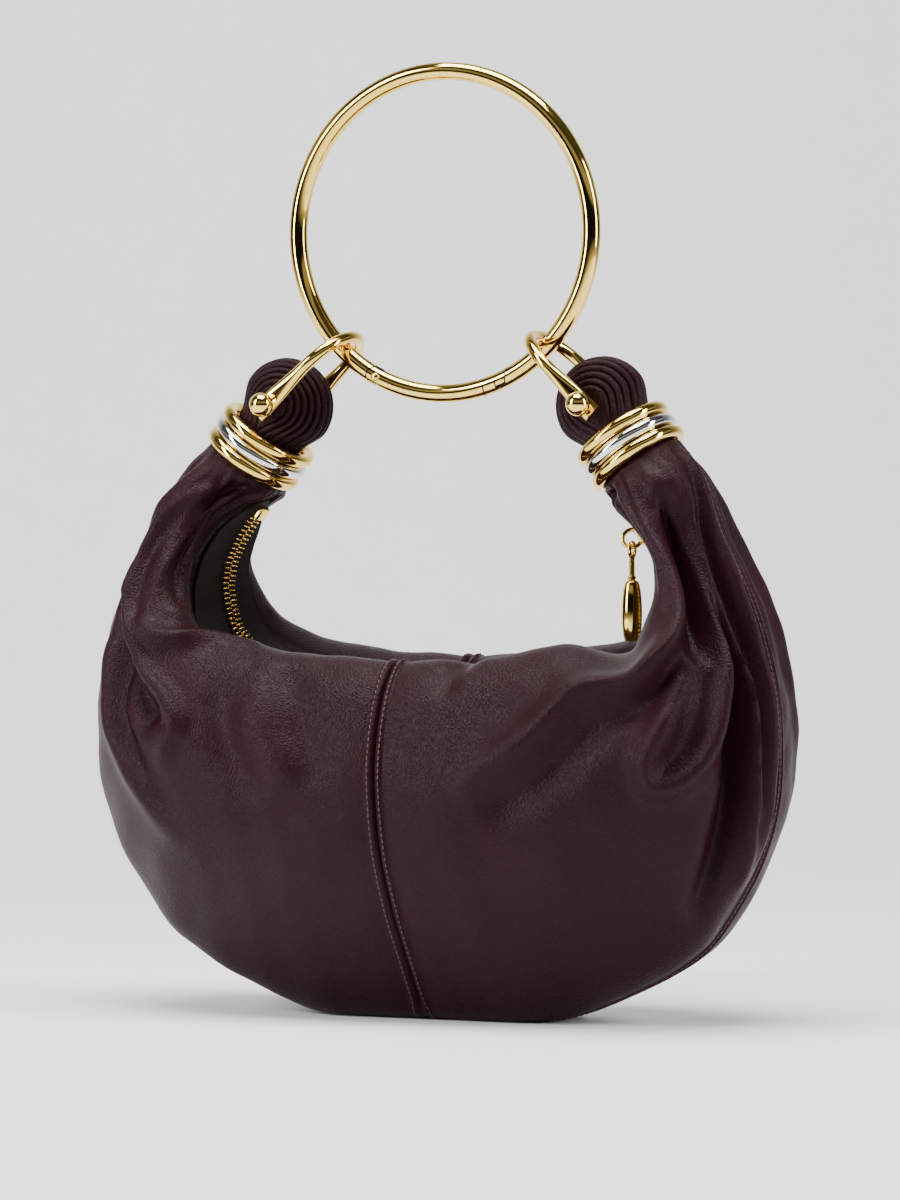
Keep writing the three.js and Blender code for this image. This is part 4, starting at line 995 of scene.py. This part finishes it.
# %% [markdown]
# ## Handle ring
# The handle is one ring of polished rod, held by the two shackles. It is a torus with closer sections at its
# top, where a hairline joint shows that the rod was bent round and closed. Angles run from the bottom of the
# ring to its right, in degrees.

# %% Handle ring
RING_CENTRE_Z = bow_top(1).z + (RING_RADIUS - (RING_WIRE + BOW_WIRE) / 2 - SEAM_GAP) * math.cos(CONTACT_ANGLE)
JOINT_WIDTH = 0.35 * MM
JOINT_DEPTH = 0.22 * MM
JOINT_EDGES = (-1.2, -0.5, -0.3, 0.3, 0.5, 1.2)  # sections at the joint, in widths


def ring_point(angle, outside):
    reach = RING_RADIUS + outside
    a = math.radians(angle)
    return Vector((reach * math.sin(a), RING_CENTRE_Z - reach * math.cos(a)))


def handle_torus(name):
    joint = math.degrees(JOINT_WIDTH / RING_RADIUS)
    angles = [180 + joint * k for k in JOINT_EDGES]
    angles += [180 + 1.5 * k for k in range(1, 240)]
    sides, points = 32, []
    for k, angle in enumerate(angles):
        wire = RING_WIRE / 2 - (JOINT_DEPTH if k in (2, 3) else 0)
        for j in range(sides):
            b = 2 * math.pi * j / sides
            flat = ring_point(angle, wire * math.cos(b))
            points.append((flat.x, wire * math.sin(b), flat.y))
    return new_piece(name, points, grid_faces(len(angles), sides, True, True), gold, merge=0.001 * MM)


print("handle ring", round(2 * RING_RADIUS / MM + RING_WIRE / MM, 1), "mm outside")

# %% [markdown]
# ## Gate in the ring
# At its bottom a gate is cut out of the ring, so that the ring can be taken off: it turns on a pin at its
# left and hooks into a stepped latch at its right. Ring and gate are cut from the same torus with the same
# outline, which is why they meet so closely. The cutters are plates and rods: an outline of the gate with
# its stepped end, the round knuckle, and the tongue that reaches into the gate's slot.

# %% Cutters for the gate
GATE_HINGE = -26.3  # degrees
LATCH = [(15.6, 0.62), (17, -0.1), (22.3, -0.1), (21.7, 0.23), (25, 0.23), (28.3, -0.62)]  # degrees, wires out
GATE_SLANT = 1.5  # degrees by which the outline closes before the latch's ends
GATE_CLEAR = 0.5 * MM
KNUCKLE = 0.56 * RING_WIRE
TONGUE = KNUCKLE - 0.1 * RING_WIRE
TONGUE_THICK = RING_WIRE / 3


def plate(name, outline, thick):
    count = len(outline)
    points = [(p.x, y, p.y) for y in (-thick / 2, thick / 2) for p in outline]
    faces = [(k, (k + 1) % count, count + (k + 1) % count, count + k) for k in range(count)]
    faces += [tuple(range(count)), tuple(range(count, 2 * count))]
    # a cutter carries the painted gap shade, which the faces it cuts take over
    return new_piece(name, points, faces, painted_gap_shade, merge=0.001 * MM)


def gate_outline(grow):
    latch = [ring_point(angle, outside * RING_WIRE) for angle, outside in LATCH]
    moved = []
    for k, point in enumerate(latch):
        edges = [latch[k] - latch[k - 1]] if k else []
        edges += [latch[k + 1] - latch[k]] if k + 1 < len(latch) else []
        normals = [Vector((e.y, -e.x)).normalized() for e in edges]
        mean = sum(normals, Vector((0, 0))).normalized()
        moved.append(point + mean * grow / mean.dot(normals[0]))
    shares = [k / 24 for k in range(25)]
    ends = [angle - GATE_SLANT - GATE_HINGE for angle in (LATCH[0][0], LATCH[-1][0])]
    low = [ring_point(GATE_HINGE + ends[0] * share, RING_WIRE) for share in shares]
    high = [ring_point(GATE_HINGE + ends[1] * share, -RING_WIRE) for share in shares[::-1]]
    return low + moved + high


def hinge_rod(name, radius, length):
    at = ring_point(GATE_HINGE, 0)
    start = Vector((at.x, -length / 2, at.y))
    profile = [(0, 0), (radius, 0), (radius, length), (0, length)]
    # a rod cutter carries the painted gap shade, which the faces it cuts take over
    return new_piece(name, *lathe(profile, (start, start + Vector((0, 1, 0))), 48), painted_gap_shade, merge=0.001 * MM)


def tongue_slab(name, thick):
    back = math.degrees(2 * KNUCKLE / RING_RADIUS)
    corners = [ring_point(GATE_HINGE, RING_WIRE), ring_point(GATE_HINGE, -RING_WIRE),
               ring_point(GATE_HINGE - back, -RING_WIRE), ring_point(GATE_HINGE - back, RING_WIRE)]
    return plate(name, corners, thick)


print("gate", round(math.radians(LATCH[3][0] - GATE_HINGE) * RING_RADIUS / MM, 1), "mm from hinge to latch")

# %% [markdown]
# The gate is what the outline and the knuckle keep of the torus, with a slot for the tongue. The ring is what
# the outline, made wider by the clearance, leaves of another torus, with the tongue added. A hole for the pin
# goes through both.

# %% Ring and gate
GATE_PIN = 1.8 * MM


def ring_and_gate():
    wide = 2 * RING_WIRE
    ring, gate = handle_torus("handle"), handle_torus("handle_gate")
    zone = plate("zone", gate_outline(0), wide)
    boolean_cut(zone, hinge_rod("knuckle", KNUCKLE, wide), "UNION")
    boolean_cut(gate, zone, "INTERSECT")
    slot = TONGUE_THICK + 2 * GATE_CLEAR
    boolean_cut(gate, hinge_rod("slot", TONGUE + GATE_CLEAR, slot))
    boolean_cut(gate, tongue_slab("slab", slot))
    boolean_cut(gate, hinge_rod("hole", (GATE_PIN + GATE_CLEAR) / 2, wide))
    tongue = handle_torus("tongue")
    # the tongue is painted dark, as the shade in the groove between gate and ring
    tongue.data.materials[0] = painted_gap_shade
    keep = hinge_rod("keep", TONGUE, TONGUE_THICK)
    boolean_cut(keep, tongue_slab("slab", TONGUE_THICK), "UNION")
    boolean_cut(tongue, keep, "INTERSECT")
    boolean_cut(ring, plate("cut", gate_outline(GATE_CLEAR), wide))
    boolean_cut(ring, hinge_rod("socket", KNUCKLE + GATE_CLEAR, wide))
    boolean_cut(ring, tongue, "UNION")
    boolean_cut(ring, hinge_rod("hole", (GATE_PIN + GATE_CLEAR) / 2, wide))
    dress(ring, "handle", ["handle_ring"])
    dress(gate, "gate", ["ring_gate"])


ring_and_gate()

# %% [markdown]
# The gate turns on a rivet with a low round head at each end, turned like the pins of the shackles.

# %% Rivet of the gate
GATE_PIN_HEAD = 3 * MM


def gate_rivet():
    seat, head = RING_WIRE / 2 + SEAM_GAP / 2, GATE_PIN_HEAD / 2
    half = [(GATE_PIN / 2, seat), (head, seat), (head * 0.9, seat + head * 0.22),
            (head * 0.6, seat + head * 0.38), (0, seat + head * 0.45)]
    at = ring_point(GATE_HINGE, 0)
    start = Vector((at.x, 0, at.y))
    profile = [(r, -y) for r, y in half[::-1]] + half
    rivet = new_piece("gate_rivet", *lathe(profile, (start, start + Vector((0, 1, 0))), 32), gold)
    dress(rivet, "handle", ["gate_pin"])


gate_rivet()

# %% [markdown]
# ## Stitches and zip teeth
# Both repeat along a path, so one Geometry Nodes tree makes them. It turns a polyline into evenly spaced
# points, stands a rounded bead on each, turned along the path and away from the surface, and can push every
# second bead to the other side, as the two rows of a zip's teeth mesh.

# %% Tree for beads along a path
OUTWARD = "outward"  # attribute of the path: the way off the surface


def beads_tree(name):
    tree = bpy.data.node_groups.new(name, "GeometryNodeTree")
    sockets = {"Path": "Geometry", "Spacing": "Float", "Length": "Float", "Width": "Float", "Height": "Float",
               "Side step": "Float", "Finish": "Material"}
    for label, kind in sockets.items():
        tree.interface.new_socket(label, in_out="INPUT", socket_type="NodeSocket" + kind)
    tree.interface.new_socket("Beads", in_out="OUTPUT", socket_type="NodeSocketGeometry")
    given = add_node(tree, "NodeGroupInput").outputs
    curve = add_node(tree, "GeometryNodeMeshToCurve", Mesh=given["Path"])
    points = add_node(tree, "GeometryNodeCurveToPoints", {"mode": "LENGTH"}, Curve=curve,
                      Length=given["Spacing"])
    outward = add_node(tree, "GeometryNodeInputNamedAttribute", {"data_type": "FLOAT_VECTOR"}, Name=OUTWARD)
    turn = add_node(tree, "FunctionNodeAxesToRotation", {"primary_axis": "Z", "secondary_axis": "X"},
                    Primary__Axis=outward.outputs["Attribute"], Secondary__Axis=points.outputs["Tangent"])
    ball = add_node(tree, "GeometryNodeMeshUVSphere", Segments=8, Rings=5, Radius=0.5)
    size = add_node(tree, "ShaderNodeCombineXYZ", X=given["Length"], Y=given["Width"], Z=given["Height"])
    placed_beads = add_node(tree, "GeometryNodeInstanceOnPoints", Points=points, Instance=ball.outputs["Mesh"],
                            Rotation=turn, Scale=size)
    index = add_node(tree, "GeometryNodeInputIndex")
    odd = add_node(tree, "ShaderNodeMath", {"operation": "MODULO"}, _0=index, _1=2.0)
    signed = add_node(tree, "ShaderNodeMapRange", Value=odd, To__Min=-1.0, To__Max=1.0)
    step = add_node(tree, "ShaderNodeMath", {"operation": "MULTIPLY"}, _0=signed, _1=given["Side step"])
    # the bead's own scale would stretch its step too, so that is divided out
    step = add_node(tree, "ShaderNodeMath", {"operation": "DIVIDE"}, _0=step, _1=given["Width"])
    offset = add_node(tree, "ShaderNodeCombineXYZ", Y=step)
    moved = add_node(tree, "GeometryNodeTranslateInstances", Instances=placed_beads, Translation=offset,
                     Local__Space=True)
    real = add_node(tree, "GeometryNodeRealizeInstances", Geometry=moved)
    soft = add_node(tree, "GeometryNodeSetShadeSmooth", Geometry=real)
    finish = add_node(tree, "GeometryNodeSetMaterial", Geometry=soft, Material=given["Finish"])
    add_node(tree, "NodeGroupOutput", Beads=finish)
    return tree


beads = beads_tree("beads_along_path")
print(beads.name, [item.name for item in beads.interface.items_tree])

# %% [markdown]
# The tree gets a mesh of bare edges, with the way off the surface stored at each point. Its sizes are set by
# the sockets' identifiers. The result is read back as a plain mesh, because an export would drop instances.

# %% Beads along a path
def beads_along(name, paths, finish, **sizes):
    points, edges, outward = [], [], []
    for places, ups in paths:
        edges += [(len(points) + k, len(points) + k + 1) for k in range(len(places) - 1)]
        points.extend(places)
        outward.extend(ups)
    mesh = bpy.data.meshes.new(name)
    mesh.from_pydata([tuple(p) for p in points], edges, [])
    layer = mesh.attributes.new(OUTWARD, "FLOAT_VECTOR", "POINT")
    layer.data.foreach_set("vector", np.array(outward, np.float32).ravel())
    piece = bpy.data.objects.new(name, mesh)
    bpy.context.collection.objects.link(piece)
    modifier = piece.modifiers.new("beads", "NODES")
    modifier.node_group = beads
    wanted = {**sizes, "Finish": finish}
    for item in beads.interface.items_tree:
        if item.in_out == "INPUT" and item.name.replace(" ", "_") in wanted:
            modifier[item.identifier] = wanted[item.name.replace(" ", "_")]
    graph = bpy.context.evaluated_depsgraph_get()
    made = bpy.data.meshes.new_from_object(piece.evaluated_get(graph), depsgraph=graph)
    piece.modifiers.clear()
    piece.data = made
    print(name, len(made.polygons), "faces")
    return piece


# %% [markdown]
# ## Rows on the finished skin
# A row of stitches keeps a distance from its seam, measured over the folds as a presser foot would, and lies
# on the finished skin. So these helpers walk over the skin's own grid, and give places between its points.

# %% Rows on the skin
BELLY_MIDDLE = np.array([0, 0, 90 * MM])  # a place inside the bag, to tell in from out


def skin_row(skin, where):
    """Points of the skin, and the way off it, at places given in rows and columns of its grid."""
    rows, columns = skin.shape[:2]
    places, ups = [], []
    for i, j in where:
        i0, j0 = int(min(i, rows - 2)), int(min(j, columns - 2))
        f, g = i - i0, j - j0
        cell = skin[i0:i0 + 2, j0:j0 + 2]
        point = (cell[0, 0] * (1 - f) + cell[1, 0] * f) * (1 - g) + (cell[0, 1] * (1 - f) + cell[1, 1] * f) * g
        normal = np.cross(cell[1, 0] - cell[0, 0], cell[0, 1] - cell[0, 0])
        normal /= np.linalg.norm(normal) + 1e-12
        places.append(point)
        ups.append(normal)
    return np.array(places), np.array(ups)


def lifted(places, ups, lift):
    outside = ((places - BELLY_MIDDLE) * ups).sum(1).mean()
    ups = ups if outside > 0 else -ups
    return places + ups * lift, ups


def walk(line, start, distance, way):
    """The place along a line of points that lies a distance from its start, forwards (1) or back (-1)."""
    place, walked = start, 0.0
    while walked < distance:
        step = np.linalg.norm(line[place + way] - line[place])
        if walked + step >= distance:
            return place + way * (distance - walked) / step
        walked += step
        place += way
    return place


# %% [markdown]
# ## Sewing
# The middle seam has a row of stitches on each side, the outer seam one row on each face, and the leather's
# turned edge one row along the zip. A bump in the leather would be cheaper, but the thread would cast no
# shadow and catch no light of its own.

# %% Stitches
STITCH = 2.2 * MM
STITCH_SHARE = 0.78  # of the stitch that shows before the thread dips in
THREAD_WIDTH = 0.55 * MM
MIDDLE_LIFT, THREAD_LIFT = 0.1 * MM, 0.12 * MM  # above the leather
WELT_ROW, EDGE_ROW = 3.0 * MM, 2.6 * MM  # from the outer seam, and from the edge along the zip


def sew(word, skin):
    rows, columns = skin.shape[:2]
    middle = rows // 2
    paths = []
    for side in (-1, 1):
        where = [(walk(skin[:, j], middle, STITCH_ROW, side), j) for j in range(4, columns - 6)]
        paths.append(lifted(*skin_row(skin, where), MIDDLE_LIFT))
        ends = range(middle + 10, rows - 6) if side > 0 else range(5, middle - 10)
        welt = [(i, walk(skin[i], 0, WELT_ROW, 1)) for i in ends]
        edge = [(i, walk(skin[i], columns - 1, EDGE_ROW, -1)) for i in ends[:len(ends) - 6]]
        paths += [lifted(*skin_row(skin, where), THREAD_LIFT) for where in (welt, edge)]
    piece = beads_along("stitches_" + word, paths, thread, Spacing=STITCH, Length=STITCH * STITCH_SHARE,
                        Width=THREAD_WIDTH, Height=THREAD_WIDTH, Side_step=0.0)
    dress(piece, "bag")


sew("front", front_skin)
sew("back", back_skin)

# %% [markdown]
# ## Zip
# The zip lies in the mouth between the two crests, and leans to the front along the arms, where the front's
# edge hangs lower than the back's. Places along it are counted in steps, from the left end (0) to the right.
# A frame of axes at each place lets every piece be built flat and then set on the zip.

# %% Zip line
TAPE_END = 0.93  # along s
ZIP_STEPS = 28
ZIP_LEAN = math.radians(32)


def zip_rim(k):
    t = TAPE_END * (2 * k / ZIP_STEPS - 1)
    side = -1 if t < 0 else 1
    outer_x, outer_z, crest_x, crest_z = smooth(BODY_ROWS, np.array([abs(t)]))[0][:4]
    rim = bare_skin(abs(t), 1.0)
    up = np.array([crest_x - outer_x, 0, crest_z - outer_z])
    up /= np.linalg.norm(up)
    point = np.array([rim[0], 0, rim[2]]) - up * WALL / 2
    return np.array([side * point[0], 0, point[2]]), rim[1] - 2 * SEAM_GAP


def zip_at(place):
    k = min(max(int(place), 0), ZIP_STEPS - 1)
    stations = []
    for n in (k, k + 1):
        point, half = zip_rim(n)
        along = zip_rim(min(n + 1, ZIP_STEPS))[0] - zip_rim(max(n - 1, 0))[0]
        along /= np.linalg.norm(along)
        stations.append((point, np.array([-along[2], 0, along[0]]), half))
    (p, up_p, half_p), (q, up_q, half_q) = stations
    f = place - k
    up = up_p * (1 - f) + up_q * f
    return p * (1 - f) + q * f, up / np.linalg.norm(up), half_p * (1 - f) + half_q * f


def zip_roll(place):
    s = abs(TAPE_END * (2 * place / ZIP_STEPS - 1))
    arm = float(smoothstep(s, 0.3, 0.56) * (1 - smoothstep(s, 0.8, 0.95)))
    return ZIP_LEAN * arm


def zip_axes(place):
    point, up, half = zip_at(place)
    along = Vector((up[2], 0, -up[0]))
    lean = Matrix.Rotation(zip_roll(place), 3, along)
    return Vector(point), along, lean @ Vector((0, 1, 0)), lean @ Vector(up), half


def zip_frame(place):
    point, along, across, up, _ = zip_axes(place)
    frame_axes = Matrix((along, across, up)).transposed().to_4x4()
    frame_axes.translation = point
    return frame_axes


print("zip", round(np.linalg.norm(zip_at(ZIP_STEPS)[0] - zip_at(0)[0]) / MM), "mm from end to end")

# %% [markdown]
# The tape is one woven strip, a little wider than the mouth, so that the leather covers its edges. At the
# arms it reaches further to the front, under the leather that hangs out there.

# %% Zip tape
TAPE_THICK = 1.2 * MM
TAPE_COVER = 1.04  # of the mouth's width
FRONT_REACH = 0.35  # how much further the tape goes to the front at the arms


def zip_tape():
    places = np.linspace(0, ZIP_STEPS, ZIP_STEPS * 3 + 1)
    across = np.linspace(-1, 1, 15)
    top, bottom = [], []
    for place in places:
        point, _, side_way, up, half = zip_axes(place)
        width = min(half, MOUTH_HALF) * TAPE_COVER
        arm = zip_roll(place) / ZIP_LEAN
        for share in across:
            reach = share * (1 + FRONT_REACH * arm * max(-share, 0))  # the front's leather lies further out
            middle = point + side_way * width * reach
            top.append(middle + up * TAPE_THICK / 2)
            bottom.append(middle - up * TAPE_THICK / 2)
    piece = new_piece("zip_cloth", top + bottom, sheet_faces(len(places), len(across)), tape_cloth,
                      merge=0.001 * MM, smooth_angle=50)
    dress(piece, "bag", ["zip_tape"])


zip_tape()

# %% [markdown]
# Two rows of metal teeth mesh along the tape's middle, between a square stop at the left and the slider at
# the right. They are rounded beads, each pushed to the other side of the line than the one before it.

# %% Zip teeth
STOP_PLACE, STOP_LENGTH = 0.6, 5 * MM
SLIDER_PLACE, SLIDER_LENGTH = 26.5, 9 * MM
CHAIN_THICK = 2.4 * MM
TOOTH_PITCH = 1.83 * MM  # in one row
TOOTH_LENGTH, TOOTH_WIDTH, TOOTH_STEP = 0.95 * MM, 3.4 * MM, 1.25 * MM
TOOTH_HEIGHT, TOOTH_MIDDLE = 0.8 * CHAIN_THICK, 0.36 * CHAIN_THICK


def zip_travel(place, length):
    start, sign = zip_at(place)[0], 1 if length > 0 else -1
    while np.linalg.norm(zip_at(place)[0] - start) < abs(length):
        place += sign * 0.01
    return place


def zip_teeth():
    start = zip_travel(STOP_PLACE, STOP_LENGTH / 2 + 2 * SEAM_GAP)
    end = zip_travel(SLIDER_PLACE, -SLIDER_LENGTH / 2 - 2 * SEAM_GAP)
    places, ups = [], []
    for place in np.linspace(start, end, 160):
        point, _, _, up, _ = zip_axes(place)
        places.append(point + up * (TAPE_THICK / 2 + SEAM_GAP + TOOTH_MIDDLE))
        ups.append(up)
    piece = beads_along("zip_teeth", [(places, ups)], gold, Spacing=TOOTH_PITCH / 2, Length=TOOTH_LENGTH,
                        Width=TOOTH_WIDTH, Height=TOOTH_HEIGHT, Side_step=TOOTH_STEP)
    dress(piece, "bag", ["zip_chain"])


zip_teeth()

# %% [markdown]
# The stop is one small cast block. All the zip's metal blocks have softly rounded edges, so a cube with a
# bevel makes them, built flat at the origin and then set on the zip's axes.

# %% Stop of the zip
def rounded_block(length, width, height, bevel, low=0.0):
    work = bmesh.new()
    bmesh.ops.create_cube(work, size=1)
    for vert in work.verts:
        vert.co = Vector((vert.co.x * length, vert.co.y * width, (vert.co.z + 0.5) * height + low))
    bmesh.ops.bevel(work, geom=list(work.edges), offset=bevel, segments=3, affect="EDGES", profile=0.5)
    work.verts.index_update()
    points = [v.co.copy() for v in work.verts]
    faces = [tuple(v.index for v in f.verts) for f in work.faces]
    work.free()
    return points, faces


def placed(part, axes):
    points, faces = part
    return [axes @ Vector(p) for p in points], faces


ZIP_BASE = TAPE_THICK / 2 + SEAM_GAP
STOP_WIDTH = 5.6 * MM
stop = rounded_block(STOP_LENGTH, STOP_WIDTH, CHAIN_THICK, 0.4 * MM, ZIP_BASE)
stop_piece = new_piece("zip_stop", *placed(stop, zip_frame(STOP_PLACE)), gold, smooth_angle=40)
dress(stop_piece, "bag", ["zip_end_stop"])

# %% [markdown]
# The slider has two plates with a narrower neck between them, which wedges the rows of teeth apart, and a
# round bail on top that the pull hangs in. The four parts are one casting, so they are joined as one piece,
# where a boolean union would only add work at places that nobody sees.

# %% Slider
SLIDER_WIDTH, SLIDER_HEIGHT = 8 * MM, 3.4 * MM
BAIL_RADIUS, BAIL_WIRE = 3.2 * MM, 1.5 * MM
BAIL_MIDDLE = ZIP_BASE + SLIDER_HEIGHT + BAIL_RADIUS * 0.6  # above the tape


def join_parts(parts):
    points, faces = [], []
    for part_points, part_faces in parts:
        start = len(points)
        points.extend(part_points)
        faces.extend(tuple(start + k for k in face) for face in part_faces)
    return points, faces


def zip_slider():
    lower = rounded_block(SLIDER_LENGTH, SLIDER_WIDTH, SLIDER_HEIGHT * 0.32, 0.35 * MM, ZIP_BASE)
    neck = rounded_block(SLIDER_LENGTH * 0.7, SLIDER_WIDTH * 0.55, SLIDER_HEIGHT * 0.5, 0.3 * MM,
                         ZIP_BASE + SLIDER_HEIGHT * 0.25)
    upper = rounded_block(SLIDER_LENGTH * 0.9, SLIDER_WIDTH * 0.85, SLIDER_HEIGHT * 0.34, 0.4 * MM,
                          ZIP_BASE + SLIDER_HEIGHT * 0.66)
    bail = torus((0, 0, BAIL_MIDDLE), (0, 1, 0), BAIL_RADIUS, BAIL_WIRE, 40, 16)
    parts = placed(join_parts([lower, neck, upper, bail]), zip_frame(SLIDER_PLACE))
    slider = new_piece("zip_runner", *parts, gold, merge=0.0005 * MM, smooth_angle=40)
    dress(slider, "bag", ["zip_slider"])


zip_slider()

# %% [markdown]
# The pull hangs straight down from the bail: an eye, a thin stem and a long drop that is thickest low down.
# The drop's profile is a sine that swells early and closes late, and the lathe turns it.

# %% Pull of the zip
STEM_LENGTH, STEM_DIAMETER = 8 * MM, 2 * MM
PULL_ABOVE_CREST, PULL_DIAMETER = 5.3 * MM, 7.2 * MM
SWELL_SKEW, SWELL_FULLNESS = 0.9, 0.3  # below 1 the drop is thickest low down, and blunt at its ends


def drop_profile(end, length):
    """From the drop's lower tip to the stem: radius and height."""
    thin, thick = STEM_DIAMETER / 2, PULL_DIAMETER / 2
    profile = [(0.0, end - length)]
    for k in range(1, 33):
        share = k / 32
        swell = math.sin(math.pi * share ** SWELL_SKEW) ** SWELL_FULLNESS if share < 1 else 0
        profile.append((thin + (thick - thin) * swell, end - length * (1 - share)))
    collar = thin * 1.5
    return profile + [(collar, end + 0.3 * MM), (collar, end + 1.1 * MM), (thin, end + 1.4 * MM)]


def zip_pull():
    top = zip_frame(SLIDER_PLACE) @ Vector((0, 0, BAIL_MIDDLE))
    eye_radius = BAIL_RADIUS - BAIL_WIRE / 2
    drop = BAIL_RADIUS - BAIL_WIRE - SEAM_GAP + eye_radius
    eye = torus((0, 0, -drop), (1, 0, 0), eye_radius, BAIL_WIRE, 40, 16)
    stem_top = -drop - eye_radius
    stem_end = stem_top - STEM_LENGTH
    length = top.z + stem_end - CREST_HEIGHT - PULL_ABOVE_CREST
    profile = drop_profile(stem_end, length) + [(STEM_DIAMETER / 2, stem_top), (0.0, stem_top)]
    points, faces = join_parts([eye, lathe(profile, ((0, 0, 0), (0, 0, 1)), 32)])
    pull = new_piece("zip_drop_pull", [Vector(p) + top for p in points], faces, gold, merge=0.0005 * MM,
                     smooth_angle=45)
    dress(pull, "bag", ["zip_pull"])


zip_pull()

# %% [markdown]
# ## Studio
# A pale grey floor runs up into the backdrop in one smooth curve, so no horizon shows. The paper is clear
# from behind, so that the bag can be seen from every side.

# %% Floor and backdrop
TO_CAMERA = Matrix.Rotation(math.radians(VIEW_AZIMUTH), 3, "Z")
PAPER_HALF_WIDTH = 6.0
PAPER_FRONT, PAPER_TOP = -6.0, 3.0
BEND_START, BEND_RADIUS = 0.7, 0.7


def paper_material():
    material, tree, place = new_material("pale_studio_paper")
    fibre = add_node(tree, "ShaderNodeTexNoise", Vector=place, Scale=40.0)
    colour = add_node(tree, "ShaderNodeValToRGB", two_colours("#f1f1f1", "#f4f4f4"), Fac=fibre)
    front = add_node(tree, "ShaderNodeBsdfPrincipled", Base__Color=colour, Roughness=0.9)
    back = add_node(tree, "ShaderNodeBsdfTransparent")
    behind = add_node(tree, "ShaderNodeNewGeometry").outputs["Backfacing"]
    paper = add_node(tree, "ShaderNodeMixShader", _0=behind, _1=front, _2=back)
    add_node(tree, "ShaderNodeOutputMaterial", Surface=paper)
    return material


def add_backdrop():
    rows = [(PAPER_FRONT, 0.0), (BEND_START - 0.1, 0.0)]
    for k in range(13):
        turn = math.radians(90 * k / 12)
        rows.append((BEND_START + BEND_RADIUS * math.sin(turn), BEND_RADIUS - BEND_RADIUS * math.cos(turn)))
    rows.append((BEND_START + BEND_RADIUS, PAPER_TOP))
    points = [TO_CAMERA @ Vector((x, y, z)) for y, z in rows for x in (-PAPER_HALF_WIDTH, PAPER_HALF_WIDTH)]
    floor = new_piece("studio_floor", points, grid_faces(len(rows), 2), paper_material())
    if floor.data.polygons[0].normal.z < 0:
        floor.data.flip_normals()
    floor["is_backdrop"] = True
    print("backdrop", len(rows), "rows")


add_backdrop()

# %% [markdown]
# ## Light
# Two long softboxes stand at the sides and a broad one hangs above. The dark gaps between them are what
# polished metal needs, because a mirror under even light looks like plain plastic. The room behind them is
# a few bands of grey from floor to ceiling, for the same reason.

# %% Softboxes and room
BAG_MIDDLE = Vector((0, 0, 0.14))
SOFTBOXES = {  # place, width and height, watts
    "left_softbox": ((-1.3, -0.6, 0.7), (0.3, 1.2), 30),
    "right_softbox": ((1.2, -0.5, 0.6), (0.25, 1.0), 18),
    "top_softbox": ((-0.1, -0.2, 1.5), (1.1, 0.8), 44),
}
ROOM_BANDS = (  # height from straight down (0) to straight up (1), grey level
    (0.44, 0.3), (0.47, 0.02), (0.6, 0.02), (0.63, 0.9), (0.72, 0.9), (0.76, 0.1),
)
ROOM_DOWN, ROOM_UP, ROOM_STRENGTH = 0.3, 0.25, 0.4


def add_softbox(name, place, size, power):
    data = bpy.data.lights.new(name, "AREA")
    data.shape = "RECTANGLE"
    data.size, data.size_y = size
    data.energy = power
    lamp = bpy.data.objects.new(name, data)
    lamp.location = TO_CAMERA @ Vector(place)
    lamp.rotation_mode = "QUATERNION"
    lamp.rotation_quaternion = (TO_CAMERA @ Vector(place) - BAG_MIDDLE).to_track_quat("Z", "Y")
    bpy.context.collection.objects.link(lamp)
    print(name, power, "W")


def add_world():
    world = bpy.data.worlds.new("studio_room")
    world.use_nodes = True
    tree = world.node_tree
    tree.nodes.clear()
    place = add_node(tree, "ShaderNodeTexCoord").outputs["Generated"]
    split = add_node(tree, "ShaderNodeSeparateXYZ", Vector=place)
    height = add_node(tree, "ShaderNodeMapRange", Value=split.outputs["Z"], From__Min=-1.0)
    ramp = add_node(tree, "ShaderNodeValToRGB", Fac=height)
    bands = ramp.color_ramp.elements
    bands[0].color, bands[1].color = (*[ROOM_DOWN] * 3, 1), (*[ROOM_UP] * 3, 1)
    for position, level in ROOM_BANDS:
        bands.new(position).color = (level, level, level, 1)
    light = add_node(tree, "ShaderNodeBackground", Color=ramp, Strength=ROOM_STRENGTH)
    add_node(tree, "ShaderNodeOutputWorld", Surface=light)
    bpy.context.scene.world = world


add_world()
for name, (place, size, power) in SOFTBOXES.items():
    add_softbox(name, place, size, power)

# %% Sizes and finish
sizes = {"cad": cad_box, "visual": [list(corner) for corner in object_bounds()]}
for axis in range(3):
    widths = [round(1000 * (high[axis] - low[axis]), 1) for low, high in sizes.values()]
    print("xyz"[axis], "cad and visual", widths, "mm")
